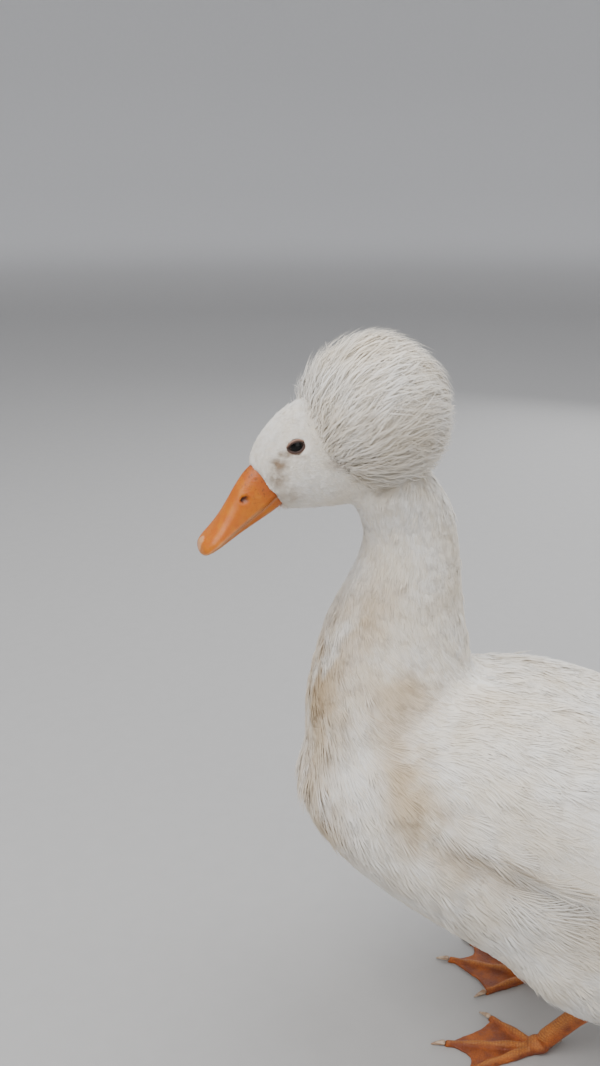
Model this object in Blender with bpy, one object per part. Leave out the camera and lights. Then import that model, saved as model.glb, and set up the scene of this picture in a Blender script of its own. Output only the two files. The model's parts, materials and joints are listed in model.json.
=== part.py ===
"""Life-size still model of a white crested duck, standing with its head turned to its left.

Metres, +Z up. The duck faces -Y, its left side is +X, and its soles lie at z = 0. The sizes below
are laid out from the foremost point of the breast, and the last step moves the whole duck so that
the origin is at the middle of its bounding box, on the floor.
"""

import math

import bmesh
import bpy
import numpy as np
from mathutils import Matrix, Vector
from mathutils.bvhtree import BVHTree

MM = 0.001
GAP = 0.00038
CREST_GAP = 0.0006
SLIVER = 0.000004
LEFT = 1
RIGHT = -1

# Torso, in a frame that slopes down to the rear: along it, then top, bottom and half width there
TORSO_NOSE_MM = (0, -1, 190)
TORSO_SLOPE = math.radians(20.0)
TORSO_STATIONS_MM = (
    (0, 0, 0, 0),
    (8, 27, -21, 33),
    (25, 52, -36, 55),
    (55, 82, -50, 76),
    (90, 99, -59, 88),
    (130, 108, -65, 94),
    (175, 109, -69, 97),
    (215, 107, -66, 95),
    (255, 101, -52, 85),
    (290, 93, -26, 69),
    (320, 85, 6, 50),
    (345, 79, 36, 34),
    (356, 70, 50, 18),
)
TORSO_WIDEST = 0.42
TORSO_POWER = 2.25
TORSO_ROWS = 20
TORSO_SIDES = 26

# Neck: middle of each ring, then half depth and half width
NECK_RINGS_MM = (
    (0, 70, 178, 60, 64),
    (0, 63, 210, 62, 62),
    (0, 59, 236, 57, 53),
    (0, 59, 258, 51, 44),
    (0, 61, 278, 46, 38),
    (0, 64, 296, 40, 34),
    (0, 67, 314, 34.5, 31.5),
    (0, 68, 333, 31, 29),
    (1, 66, 350, 29, 27),
    (6, 58, 365, 27, 26),
    (12, 49, 376, 21, 21),
)
NECK_SIDES = 24

# Head, in its own frame: along the skull, then top, bottom and half width, from between the eyes
EYE_MIDDLE_MM = (33, -5, 403)
HEAD_TURN = math.radians(29.6)
HEAD_PITCH = math.radians(17.0)
HEAD_STATIONS_MM = (
    (25.5, -8.5, -21, 5),
    (23.8, -4, -28, 9.5),
    (19.8, 1, -35, 13.5),
    (13.5, 7, -40, 17),
    (4.5, 12.5, -43.5, 20.5),
    (-6, 17, -47, 23.5),
    (-20, 19, -51, 25.5),
    (-34, 15, -52.5, 25.5),
    (-46, 5, -46, 21),
    (-54, -6, -34, 12),
)
HEAD_WIDEST = 0.42
HEAD_POWER = 2.1
HEAD_SIDES = 24
HEAD_ROWS = 18

# Eyes, and the lids that ring them
EYE_MM = (-1.3, 12.9, -1.8)
EYE_RADIUS_MM = 6.8
LID_RADIUS_MM = 8.1
LID_OPENING_MM = (4.9, 3.7)
LID_OPENING_DEPTH_MM = 6.5

# Bill: along its axis from its root, then half width, top, mouth line and underside
BILL_ROOT_MM = (20, -22)
BILL_DROP = math.radians(24.0)
BILL_STATIONS_MM = (
    (-6, 11.0, 13.8, -6.0, -14.8),
    (3, 11.6, 13.8, -6.2, -14.8),
    (12, 11.6, 11.8, -5.8, -13.2),
    (22, 11.4, 8.6, -5.0, -11.0),
    (32, 11.8, 5.6, -4.0, -8.8),
    (41, 12.8, 3.8, -3.2, -6.9),
    (46, 12.8, 3.2, -2.8, -5.8),
    (51, 10.4, 2.2, -2.9, -4.8),
    (54.5, 5.6, 0.6, -3.1, -4.1),
)
UPPER_PLACES_MM = (-6, 0, 6, 13, 20, 27, 34, 39, 43.5, 47, 50, 52.5, 54.5)
LOWER_PLACES_MM = (-6, 2, 11, 21, 31, 39, 44, 48.5, 51.5, 53)
MOUTH_GAP_MM = 0.35

# Nostrils and nail: along the bill, how far up, and half sizes
NOSTRIL_MM = (15, 6.4)
NOSTRIL_SIZE_MM = (3.0, 1.6, 1.5)
NOSTRIL_SPREAD = 0.86
NAIL_MM = (50.6, 0.0)
NAIL_SIZE_MM = (5.4, 5.0, 2.4)

# Crest: its middle, the reach of its locks, the two cores that root them, and the locks
CREST_MIDDLE_MM = (10, 44.5, 414.5)
CREST_REACH_MM = 49.5
CREST_CORE_MM = 20
CREST_FRONT_SWELL = 0.1
CREST_FRONT_AHEAD_MM = 25
CREST_FRONT_UP_MM = 16
CREST_FRONT_CORE_MM = 13
CREST_LOCKS = 76
CREST_LOCK_WIDTH_MM = 18.0
CREST_LOCK_THICKNESS_MM = 3.6
CREST_SWEEP = 0.9
CREST_FRONT_SWEEP = 0.42
CREST_FALL = 0.25
CREST_CLEAR_MM = 3.0
CREST_UNEVEN = 0.035
# Share of the way to the tip, then share of the width and of the thickness there
LOCK_STATIONS = ((0.0, 0.5, 1.0), (0.45, 1.0, 1.0), (0.78, 0.86, 0.75), (1.0, 0.2, 0.25))

# Wing: front and rear edge along the torso, at the lower and the upper edge, then those edges as
# angles round the torso at the front, the middle and the rear
WING_FRONT_MM = (50, 106)
WING_REAR_MM = (248, 262)
WING_LOW_DEG = (10, 10, 16)
WING_HIGH_DEG = (68, 78, 81)
WING_SWELL_MM = 6.5
WING_SWELL_POWER = 0.6
WING_EDGE_MM = 1.2
WING_SINK_MM = 3.0
WING_ROWS = 9
WING_COLUMNS = 7
WING_LIFT_FROM_MM = 240
WING_LIFT_MM = 9.0
VANE_THICKNESS_MM = 1.3
VANE_SINK_MM = 2.2
VANE_TILT = math.radians(5.0)
VANE_RISE_MM = 0.4
VANE_THINNING = 0.4
# Share of the way to the tip, then share of the width there, for long vanes and for coverts
VANE_STATIONS = ((0.0, 0.62), (0.42, 1.0), (0.84, 0.86), (1.0, 0.34))
COVERT_STATIONS = ((0.0, 0.7), (0.68, 1.0), (1.0, 0.42))

# Tiers of wing vanes, from the wing's tip forward: how many, then for the lowest and the highest
# vane where along the torso the root and the tip lie and the angle of both ends, then the width
# and how proud the tips stand
FLIGHT_TIERS = (
    (4, (214, 226), (326, 342), (28, 52), (31, 48), 16.0, 0.6),
    (5, (178, 196), (272, 292), (15, 42), (18, 42), 21.0, 1.6),
    (4, (188, 200), (304, 318), (50, 75), (52, 73), 24.0, 2.2),
)
COVERT_TIERS = (
    (4, (138, 158), (216, 238), (16, 69), (17, 70), 29.0, 2.2),
    (4, (98, 126), (166, 192), (15, 68), (16, 69), 30.0, 2.2),
    (3, (70, 112), (122, 154), (17, 64), (18, 66), 30.0, 1.8),
)

# Tail
TAIL_ROOT_MM = (0, 318, 128)
TAIL_RISE = math.radians(5.0)
TAIL_LENGTH_MM = 108
TAIL_CORE_MM = (30, 42, 17)
TAIL_CORE_BACK_MM = 4
TAIL_ROOT_HALF_MM = 16
TAIL_SPREAD = math.radians(36.0)
TAIL_SINK_MM = 8
TAIL_ROOF = 0.35
TAIL_ROUNDING = 0.1
# Layers of the tail: how many vanes, their share of the length, their width, how high the middle
# ones root and lie at the tip, how much lower the outermost lie, and their stations
TAIL_LAYERS = (
    (13, 1.0, 17.0, 1.0, 3.0, 6.0, VANE_STATIONS),
    (6, 0.66, 23.0, 8.0, 7.5, 6.0, COVERT_STATIONS),
    (6, 0.7, 23.0, -8.0, -4.5, -1.0, COVERT_STATIONS),
)

# Legs and feet
FOOT_BASE_MM = {LEFT: (41, 164, 0), RIGHT: (31, 162, 0)}
FOOT_TOE_OUT = {LEFT: math.radians(5.0), RIGHT: math.radians(9.0)}
HOCK_MM = (49, 197, 49)
SHANK_RINGS_MM = (
    (0.0, 4.6, 4.6),
    (0.1, 5.8, 6.0),
    (0.3, 5.0, 6.2),
    (0.6, 5.0, 6.2),
    (0.85, 6.2, 7.2),
    (1.1, 6.6, 7.6),
)
THIGH_RINGS_MM = (
    (48, 155, 132, 24, 20),
    (57, 164, 114, 46, 34),
    (62, 175, 95, 48, 34),
    (61, 186, 76, 41, 31),
    (56, 194, 58, 30, 25),
    (51, 198, 45, 16, 15),
)

# Toes: angle from the middle toe towards the inside, length with the claw, and how many joints
TOES = (
    ("inner", 43, 49, 2),
    ("middle", 0, 70, 3),
    ("outer", -27, 64, 3),
)
TOE_HALF_WIDTH_MM = 3.6
TOE_HEIGHT_MM = 6.5
TOE_TAPER = 0.42
TOE_PADS = (0.9, 0.22, 0.16)
TOE_SECTION = ((-0.8, 0), (0.8, 0), (1, 0.4), (0.62, 0.86), (0, 1), (-0.62, 0.86), (-1, 0.4))
WEB_MM = (0.5, 2.0)
WEB_STEPS = 6
WEB_HOLLOW = 0.17
WEB_BACK_MM = 2.0
WEB_SHORT_MM = 1.5
CLAW_LENGTH_MM = 10.0
CLAW_HALF_WIDTH_MM = 2.1
CLAW_HEIGHT_MM = 4.4
CLAW_TIP_MM = (0.35, 0.9, 0.25)
CLAW_LIFT_MM = 0.84
CLAW_SHARES = (0.0, 0.3, 0.6, 0.85, 1.0)
CLAW_SECTION = ((-0.7, 0), (0.7, 0), (1, 0.5), (0, 1), (-1, 0.5))
HIND_TOE_ANGLE = 150
HIND_TOE_MM = 15
HIND_TOE_HEIGHT_MM = 5.0
ANKLE_MM = (7.2, 8.0, 5.2)

SHARP_ANGLE = math.radians(40.0)
COLOURS = {
    "plumage": ((0.82, 0.80, 0.75), 0.85),
    "bill": ((0.80, 0.30, 0.05), 0.45),
    "eye": ((0.02, 0.015, 0.012), 0.08),
    "leg": ((0.72, 0.22, 0.06), 0.6),
    "claw": ((0.62, 0.50, 0.38), 0.5),
}


def clear_scene():
    """Remove every object of the scene."""
    for old in list(bpy.data.objects):
        bpy.data.objects.remove(old)


def finish(target, name, kind):
    """Name an object, and give it its material."""
    colour, roughness = COLOURS[kind]
    made = bpy.data.materials.new(name)
    made.use_nodes = True
    shader = made.node_tree.nodes["Principled BSDF"]
    shader.inputs["Base Color"].default_value = (*colour, 1.0)
    shader.inputs["Roughness"].default_value = roughness
    target.name = name
    target.data.name = name
    target.data.materials.clear()
    target.data.materials.append(made)
    target.data.shade_smooth()
    target.data.set_sharp_from_angle(angle=SHARP_ANGLE)


def smooth_curve(xs, ys):
    """A function through the points that is smooth and doesn't swing past them."""
    xs = np.array(xs, float)
    ys = np.array(ys, float)
    if xs[0] > xs[-1]:
        xs = xs[::-1]
        ys = ys[::-1]
    steps = np.diff(xs)
    slopes = np.diff(ys) / steps
    tangents = np.zeros(len(xs))
    tangents[0] = slopes[0]
    tangents[-1] = slopes[-1]
    for i in range(1, len(xs) - 1):
        if slopes[i - 1] * slopes[i] > 0:
            before = 2 * steps[i] + steps[i - 1]
            after = steps[i] + 2 * steps[i - 1]
            tangents[i] = (before + after) / (before / slopes[i - 1] + after / slopes[i])

    def at(x):
        i = int(np.clip(np.searchsorted(xs, x) - 1, 0, len(steps) - 1))
        t = float(np.clip((x - xs[i]) / steps[i], 0, 1))
        start = (1 + 2 * t) * (1 - t) ** 2 * ys[i] + t * (1 - t) ** 2 * steps[i] * tangents[i]
        end = t * t * (3 - 2 * t) * ys[i + 1] + t * t * (t - 1) * steps[i] * tangents[i + 1]
        return start + end

    return at


def mesh_object(name, points, faces):
    """An object from points and faces, with its faces turned outwards."""
    mesh = bpy.data.meshes.new(name)
    mesh.from_pydata([tuple(p) for p in points], [], faces)
    shaped = bmesh.new()
    shaped.from_mesh(mesh)
    bmesh.ops.recalc_face_normals(shaped, faces=shaped.faces)
    shaped.to_mesh(mesh)
    shaped.free()
    made = bpy.data.objects.new(name, mesh)
    bpy.context.scene.collection.objects.link(made)
    return made


def loft(name, rings, anchors=()):
    """A closed skin over rings of points, each with as many points, with a cap at both ends.

    With anchors, each quad is split from its anchor point, so that the two broad sides of a thin
    blade are split alike.
    """
    count = len(rings[0])
    points = [p for ring in rings for p in ring]
    faces = []
    for row in range(len(rings) - 1):
        for i in range(count):
            j = (i + 1) % count
            low = row * count
            high = low + count
            if not anchors:
                faces.append((low + i, low + j, high + j, high + i))
            elif i in anchors:
                faces.append((low + i, low + j, high + j))
                faces.append((low + i, high + j, high + i))
            else:
                faces.append((low + i, low + j, high + i))
                faces.append((low + j, high + j, high + i))
    last = (len(rings) - 1) * count
    faces.append(tuple(range(count))[::-1])
    faces.append(tuple(range(last, last + count)))
    return mesh_object(name, points, faces)


def blade(name, stations, corners, anchors):
    """A thin blade over stations of middle, side, up, half width and half thickness."""
    rings = []
    for middle, side, up, wide, thick in stations:
        rings.append([middle + side * (wide * x) + up * (thick * y) for x, y in corners])
    return loft(name, rings, anchors)


def vane(stations):
    """Vane of a feather, a thin slab."""
    return blade("vane", stations, ((-1, -1), (1, -1), (1, 1), (-1, 1)), (0, 3))


def lock(stations):
    """Lock of feathers, flat and lens-shaped across."""
    return blade("lock", stations, ((-1, 0), (0, -1), (1, 0), (0, 1)), (0, 2))


def along_path(points, outs):
    """Unit side and up vectors at each point of a path, flat to the outward direction there."""
    frames = []
    for i, out in enumerate(outs):
        ahead = points[min(i + 1, len(points) - 1)] - points[max(i - 1, 0)]
        ahead.normalize()
        side = ahead.cross(out)
        if side.length < 0.05:
            side = ahead.orthogonal()
        side.normalize()
        frames.append((side, side.cross(ahead).normalized()))
    return frames


def ellipsoid(name, middle, radii_mm, turn=None, segments=14, rings=8):
    """A closed ellipsoid about its middle."""
    shaped = bmesh.new()
    bmesh.ops.create_uvsphere(shaped, u_segments=segments, v_segments=rings, radius=MM)
    mesh = bpy.data.meshes.new(name)
    shaped.to_mesh(mesh)
    shaped.free()
    size = Matrix.Diagonal((*radii_mm, 1.0))
    mesh.transform(Matrix.Translation(middle) @ (turn or Matrix.Identity(4)) @ size)
    made = bpy.data.objects.new(name, mesh)
    bpy.context.scene.collection.objects.link(made)
    return made


def apply_modifiers(target):
    """Give the target the mesh that its modifiers make."""
    graph = bpy.context.evaluated_depsgraph_get()
    made = bpy.data.meshes.new_from_object(target.evaluated_get(graph))
    target.modifiers.clear()
    target.data = made


def join(target, others, operation="UNION", solver="EXACT"):
    """Join the target with the others, or cut it by them, in one Boolean, and remove those."""
    tools = bpy.data.collections.new(target.name + "_tools")
    for other in others:
        tools.objects.link(other)
    change = target.modifiers.new(operation.lower(), "BOOLEAN")
    change.operation = operation
    change.operand_type = "COLLECTION"
    change.collection = tools
    change.solver = solver
    apply_modifiers(target)
    for other in others:
        bpy.data.objects.remove(other)
    bpy.data.collections.remove(tools)
    return target


def grown(source, grow=GAP):
    """A copy of an object, with its surface moved outwards."""
    mesh = source.data.copy()
    shaped = bmesh.new()
    shaped.from_mesh(mesh)
    shaped.normal_update()
    moved = [v.co + v.normal * grow for v in shaped.verts]
    for v, place in zip(shaped.verts, moved):
        v.co = place
    shaped.to_mesh(mesh)
    shaped.free()
    made = bpy.data.objects.new(source.name + "_grown", mesh)
    bpy.context.scene.collection.objects.link(made)
    return made


def clear_of(target, *neighbours, gap=GAP, solver="EXACT"):
    """Cut the target clear of its neighbours by the gap, and keep its largest surface."""
    join(target, [grown(n, gap) for n in neighbours], "DIFFERENCE", solver)
    return keep_largest(target)


def keep_largest(target):
    """Drop slivers, and every closed surface of the mesh but the one that holds most."""
    shaped = bmesh.new()
    shaped.from_mesh(target.data)
    bmesh.ops.remove_doubles(shaped, verts=shaped.verts, dist=SLIVER)
    bmesh.ops.dissolve_degenerate(shaped, edges=shaped.edges, dist=SLIVER)
    bmesh.ops.triangulate(shaped, faces=shaped.faces)
    left = set(shaped.faces)
    groups = []
    while left:
        group = []
        edge = [left.pop()]
        while edge:
            face = edge.pop()
            group.append(face)
            for e in face.edges:
                if len(e.link_faces) != 2:
                    continue
                for other in e.link_faces:
                    if other in left:
                        left.remove(other)
                        edge.append(other)
        groups.append(group)
    groups.sort(key=surface_volume, reverse=True)
    scraps = [f for g in groups[1:] for f in g]
    bmesh.ops.delete(shaped, geom=scraps, context="FACES")
    shaped.to_mesh(target.data)
    shaped.free()
    return target


def surface_volume(group):
    """Volume inside one closed group of triangles."""
    total = 0.0
    for f in group:
        a, b, c = (v.co for v in f.verts)
        total += a.dot(b.cross(c)) / 6
    return abs(total)


def egg_point(top, bottom, half, widest, power, angle):
    """Point (across, up) at an angle round an egg-shaped section."""
    level = bottom + widest * (top - bottom)
    c = math.cos(angle)
    s = math.sin(angle)
    tall = top - level if s > 0 else level - bottom
    across = half * math.copysign(abs(c) ** (2 / power), c)
    return across, level + tall * math.copysign(abs(s) ** (2 / power), s)


TORSO_ALONG = Vector((0, math.cos(TORSO_SLOPE), -math.sin(TORSO_SLOPE)))
TORSO_UP = Vector((0, math.sin(TORSO_SLOPE), math.cos(TORSO_SLOPE)))
TORSO_ROOTS = [math.sqrt(s[0]) for s in TORSO_STATIONS_MM]
TORSO_TOP, TORSO_BOTTOM, TORSO_HALF = (
    smooth_curve(TORSO_ROOTS, [s[k] for s in TORSO_STATIONS_MM]) for k in (1, 2, 3)
)


def torso_point(along, angle):
    """Point on the torso, at a distance along it and an angle up from its widest level."""
    t = math.sqrt(max(along, 0))
    shape = (TORSO_TOP(t), TORSO_BOTTOM(t), TORSO_HALF(t))
    across, up = egg_point(*shape, TORSO_WIDEST, TORSO_POWER, angle)
    middle = Vector(TORSO_NOSE_MM) * MM
    return middle + TORSO_ALONG * (along * MM) + Vector((across * MM, 0, 0)) + TORSO_UP * (up * MM)


def torso():
    """Breast, back and belly as one egg-shaped body."""
    rings = []
    for row in range(1, TORSO_ROWS + 1):
        along = (TORSO_ROOTS[-1] * row / TORSO_ROWS) ** 2
        turns = [2 * math.pi * i / TORSO_SIDES for i in range(TORSO_SIDES)]
        rings.append([torso_point(along, turn) for turn in turns])
    return loft("torso", rings)


def neck():
    """Neck, from inside the breast up into the back of the head."""
    rows = NECK_RINGS_MM
    turned = Vector((math.cos(HEAD_TURN), math.sin(HEAD_TURN), 0))
    rings = []
    for i, (x, y, z, deep, wide) in enumerate(rows):
        before = Vector(rows[max(i - 1, 0)][:3])
        after = Vector(rows[min(i + 1, len(rows) - 1)][:3])
        along = (after - before).normalized()
        share = min(max((z - 330) / 50, 0), 1)
        side = Vector((1, 0, 0)).lerp(turned, share)
        side = (side - along * side.dot(along)).normalized()
        ahead = along.cross(side)
        middle = Vector((x, y, z)) * MM
        ring = []
        for k in range(NECK_SIDES):
            angle = 2 * math.pi * k / NECK_SIDES
            out = side * (wide * math.cos(angle)) + ahead * (deep * math.sin(angle))
            ring.append(middle + out * MM)
        rings.append(ring)
    return loft("neck", rings)


def head_frame():
    """Matrix from the head's own frame, x forward along the skull, y left and z up."""
    forward = Vector((math.sin(HEAD_TURN), -math.cos(HEAD_TURN), 0))
    left = Vector((math.cos(HEAD_TURN), math.sin(HEAD_TURN), 0))
    skull = forward * math.cos(HEAD_PITCH) - Vector((0, 0, math.sin(HEAD_PITCH)))
    up = skull.cross(left)
    turn = Matrix((skull, left, up)).transposed().to_4x4()
    return Matrix.Translation(Vector(EYE_MIDDLE_MM) * MM) @ turn


def bill_frame():
    """Matrix from the bill's own frame, x forward along the bill, to the row's."""
    root = Vector((BILL_ROOT_MM[0], 0, BILL_ROOT_MM[1])) * MM
    return head_frame() @ Matrix.Translation(root) @ Matrix.Rotation(BILL_DROP, 4, "Y")


def skull():
    """Skull, cheeks and throat."""
    along = [s[0] for s in HEAD_STATIONS_MM]
    top, bottom, half = (smooth_curve(along, [s[k] for s in HEAD_STATIONS_MM]) for k in (1, 2, 3))
    rings = []
    for row in range(HEAD_ROWS + 1):
        share = 0.5 - 0.5 * math.cos(math.pi * row / HEAD_ROWS)
        f = along[0] + (along[-1] - along[0]) * share
        ring = []
        for i in range(HEAD_SIDES):
            turn = 2 * math.pi * i / HEAD_SIDES
            across, up = egg_point(top(f), bottom(f), half(f), HEAD_WIDEST, HEAD_POWER, turn)
            ring.append(head_frame() @ (Vector((f, across, up)) * MM))
        rings.append(ring)
    return loft("head", rings)


def eye_place(side):
    """Matrix of the frame of an eye, z out of the head and x forward."""
    middle = Vector((EYE_MM[0], side * EYE_MM[1], EYE_MM[2])) * MM
    out = Vector((0.16, side, 0.06)).normalized()
    forward = (Vector((1, 0, 0)) - out * out.x).normalized()
    turn = Matrix((forward, out.cross(forward), out)).transposed().to_4x4()
    return head_frame() @ Matrix.Translation(middle) @ turn


def head_with_lids():
    """Head with both lids raised round the eyes."""
    made = skull()
    lids = []
    slits = []
    for side in (LEFT, RIGHT):
        place = eye_place(side)
        turn = place.to_3x3().to_4x4()
        lids.append(ellipsoid("lid", place.translation, [LID_RADIUS_MM] * 3, turn))
        front = place @ Vector((0, 0, LID_RADIUS_MM * MM))
        slits.append(ellipsoid("slit", front, (*LID_OPENING_MM, LID_OPENING_DEPTH_MM), turn))
    join(made, lids)
    join(made, slits, "DIFFERENCE")
    return made


def eye(side, name):
    """Eyeball."""
    place = eye_place(side)
    return ellipsoid(name, place.translation, [EYE_RADIUS_MM] * 3, place.to_3x3().to_4x4())


def bill_section(half, top, bottom, upper):
    """Half-round section of the upper or the lower bill, broad side flat, as (across, up)."""
    tall = top - bottom
    if upper:
        shape = (
            (-1.0, 0.0), (-0.5, 0.0), (0.0, 0.0), (0.5, 0.0), (1.0, 0.0),
            (1.0, 0.3), (0.78, 0.66), (0.42, 0.93), (0.0, 1.0),
            (-0.42, 0.93), (-0.78, 0.66), (-1.0, 0.3),
        )
    else:
        shape = (
            (-0.93, 1.0), (-0.8, 0.45), (-0.45, 0.06), (0.0, 0.0),
            (0.45, 0.06), (0.8, 0.45), (0.93, 1.0), (0.0, 1.0),
        )
    return [(x * half, bottom + y * tall) for x, y in shape]


def bill(name, upper):
    """Upper or lower half of the bill."""
    rows = BILL_STATIONS_MM
    along = [s[0] for s in rows]
    half, top, mouth, under = (smooth_curve(along, [s[k] for s in rows]) for k in (1, 2, 3, 4))
    places = UPPER_PLACES_MM
    if not upper:
        places = LOWER_PLACES_MM
    rings = []
    for u in places:
        if upper:
            shape = bill_section(half(u), top(u), mouth(u) + MOUTH_GAP_MM / 2, True)
        else:
            shape = bill_section(half(u), mouth(u) - MOUTH_GAP_MM / 2, under(u), False)
        rings.append([bill_frame() @ (Vector((u, x, z)) * MM) for x, z in shape])
    made = loft(name, rings)
    if upper:
        place = bill_frame()
        turn = place.to_3x3().to_4x4()
        along_nail, lift = NAIL_MM
        spot = place @ (Vector((along_nail, 0, lift)) * MM)
        join(made, [ellipsoid("nail", spot, NAIL_SIZE_MM, turn, 12, 8)])
        along_pit, rise = NOSTRIL_MM
        pits = []
        for side in (LEFT, RIGHT):
            across = side * half(along_pit) * NOSTRIL_SPREAD
            spot = place @ (Vector((along_pit, across, rise)) * MM)
            pits.append(ellipsoid("nostril", spot, NOSTRIL_SIZE_MM, turn, 10, 6))
        join(made, pits, "DIFFERENCE")
    return keep_largest(made)


def thigh(side, name):
    """Feathered thigh that hangs out of the belly; side is 1 on the left and -1 on the right."""
    rings = []
    for x, y, z, deep, wide in THIGH_RINGS_MM:
        ring = []
        for k in range(16):
            angle = 2 * math.pi * k / 16
            place = Vector((side * (x + wide * math.cos(angle)), y + deep * math.sin(angle), z))
            ring.append(place * MM)
        rings.append(ring)
    return loft(name, rings)


def foot_point(side, along, across, z):
    """Point of a foot, along the middle toe and across it to the inside, from its base."""
    x, y, base = FOOT_BASE_MM[side]
    c = math.cos(FOOT_TOE_OUT[side])
    s = math.sin(FOOT_TOE_OUT[side])
    out = along * s - across * c
    ahead = along * c + across * s
    return Vector((side * (x + out), y - ahead, base + z)) * MM


def toe_point(side, angle, along, across, z):
    """Point of a toe, along it and across it, at an angle from the middle toe."""
    c = math.cos(math.radians(angle))
    s = math.sin(math.radians(angle))
    return foot_point(side, along * c - across * s, along * s + across * c, z)


def toe(side, angle, length, joints, height):
    """Toe with a flat sole and a pad at each joint, narrowing to the claw."""
    steps = 2 * joints
    base, widen, raise_it = TOE_PADS
    rings = []
    for i in range(steps + 1):
        share = i / steps
        swell = 0.5 + 0.5 * math.cos(2 * math.pi * share * joints)
        slim = 1 - TOE_TAPER * share
        wide = TOE_HALF_WIDTH_MM * slim * (base + widen * swell)
        tall = height * slim * (base + raise_it * swell)
        at = length * share
        rings.append([toe_point(side, angle, at, x * wide, z * tall) for x, z in TOE_SECTION])
    return loft("toe", rings)


def claw(side, angle, start, name):
    """Curved claw on a toe's end, its tip just above the floor."""
    tip_wide, tip_top, tip_low = CLAW_TIP_MM
    rings = []
    for share in CLAW_SHARES:
        at = start + CLAW_LENGTH_MM * share
        wide = CLAW_HALF_WIDTH_MM * (1 - share) ** 0.7 + tip_wide
        top = CLAW_HEIGHT_MM * (1 - share ** 1.7) + tip_top
        low = CLAW_LIFT_MM * (1 - share) + tip_low * share
        ring = [toe_point(side, angle, at, x * wide, low + z * (top - low)) for x, z in CLAW_SECTION]
        rings.append(ring)
    return loft(name, rings)


def web(side, first, second):
    """Web between two toes, its front edge hollow between their ends."""
    low, high = WEB_MM
    edge = []
    for i in range(WEB_STEPS + 1):
        share = i / WEB_STEPS
        angle = first[1] + (second[1] - first[1]) * share
        length = first[2] + (second[2] - first[2]) * share - CLAW_LENGTH_MM
        reach = length * (1 - WEB_HOLLOW * math.sin(math.pi * share))
        edge.append((angle, reach - WEB_SHORT_MM))
    points = []
    for z in (low, high):
        points.append(toe_point(side, (first[1] + second[1]) / 2, -WEB_BACK_MM, 0, z))
        points.extend(toe_point(side, angle, reach, 0, z) for angle, reach in edge)
    count = len(edge) + 1
    faces = []
    for i in range(1, count - 1):
        faces.append((0, i + 1, i))
        faces.append((count, count + i, count + i + 1))
    for i in range(count):
        j = (i + 1) % count
        faces.append((i, j, count + j, count + i))
    return mesh_object("web", points, faces)


def foot(side, name):
    """Three webbed toes, the hind toe, and the ankle that carries them."""
    pieces = []
    for _, angle, length, joints in TOES:
        pieces.append(toe(side, angle, length - CLAW_LENGTH_MM + 1.0, joints, TOE_HEIGHT_MM))
    pieces.append(toe(side, HIND_TOE_ANGLE, HIND_TOE_MM - 4.0, 1, HIND_TOE_HEIGHT_MM))
    pieces.append(web(side, TOES[0], TOES[1]))
    pieces.append(web(side, TOES[1], TOES[2]))
    ankle = ellipsoid("ankle", foot_point(side, 0, 0, ANKLE_MM[2]), ANKLE_MM, None, 12, 8)
    made = join(ankle, pieces)
    made.name = name
    return keep_largest(made)


def shank(side, name):
    """Scaled shank from the ankle up to the hock, slanting back."""
    low = foot_point(side, -2, 0, 7)
    x, y, z = HOCK_MM
    high = Vector((side * x, y, z)) * MM
    along = (high - low).normalized()
    across = Vector((1, 0, 0))
    across = (across - along * across.dot(along)).normalized()
    ahead = along.cross(across)
    rings = []
    for share, wide, deep in SHANK_RINGS_MM:
        middle = low.lerp(high, share)
        ring = []
        for k in range(12):
            angle = 2 * math.pi * k / 12
            out = across * (wide * math.cos(angle)) + ahead * (deep * math.sin(angle))
            ring.append(middle + out * MM)
        rings.append(ring)
    return loft(name, rings)


def even_directions(count):
    """Directions spread evenly over a sphere."""
    turn = math.pi * (3 - math.sqrt(5))
    for i in range(count):
        z = 1 - 2 * (i + 0.5) / count
        r = math.sqrt(1 - z * z)
        yield Vector((r * math.cos(turn * i), r * math.sin(turn * i), z))


def depth_outside(trees, place):
    """Distance of a place outside the nearest of some surfaces, negative inside one."""
    least = math.inf
    for tree in trees:
        near, normal, _, distance = tree.find_nearest(place)
        inside = (place - near).dot(normal) < 0
        least = min(least, -distance if inside else distance)
    return least


def surface_tree(source):
    """Search tree of an object's surface."""
    mesh = source.data
    return BVHTree.FromPolygons([v.co for v in mesh.vertices], [p.vertices for p in mesh.polygons])


def lock_path(root, knee, tip):
    """Points along a bent lock, one for each of its stations."""
    points = []
    for t, _, _ in LOCK_STATIONS:
        points.append(root * (1 - t) ** 2 + knee * (2 * t * (1 - t)) + tip * t * t)
    return points


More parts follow.
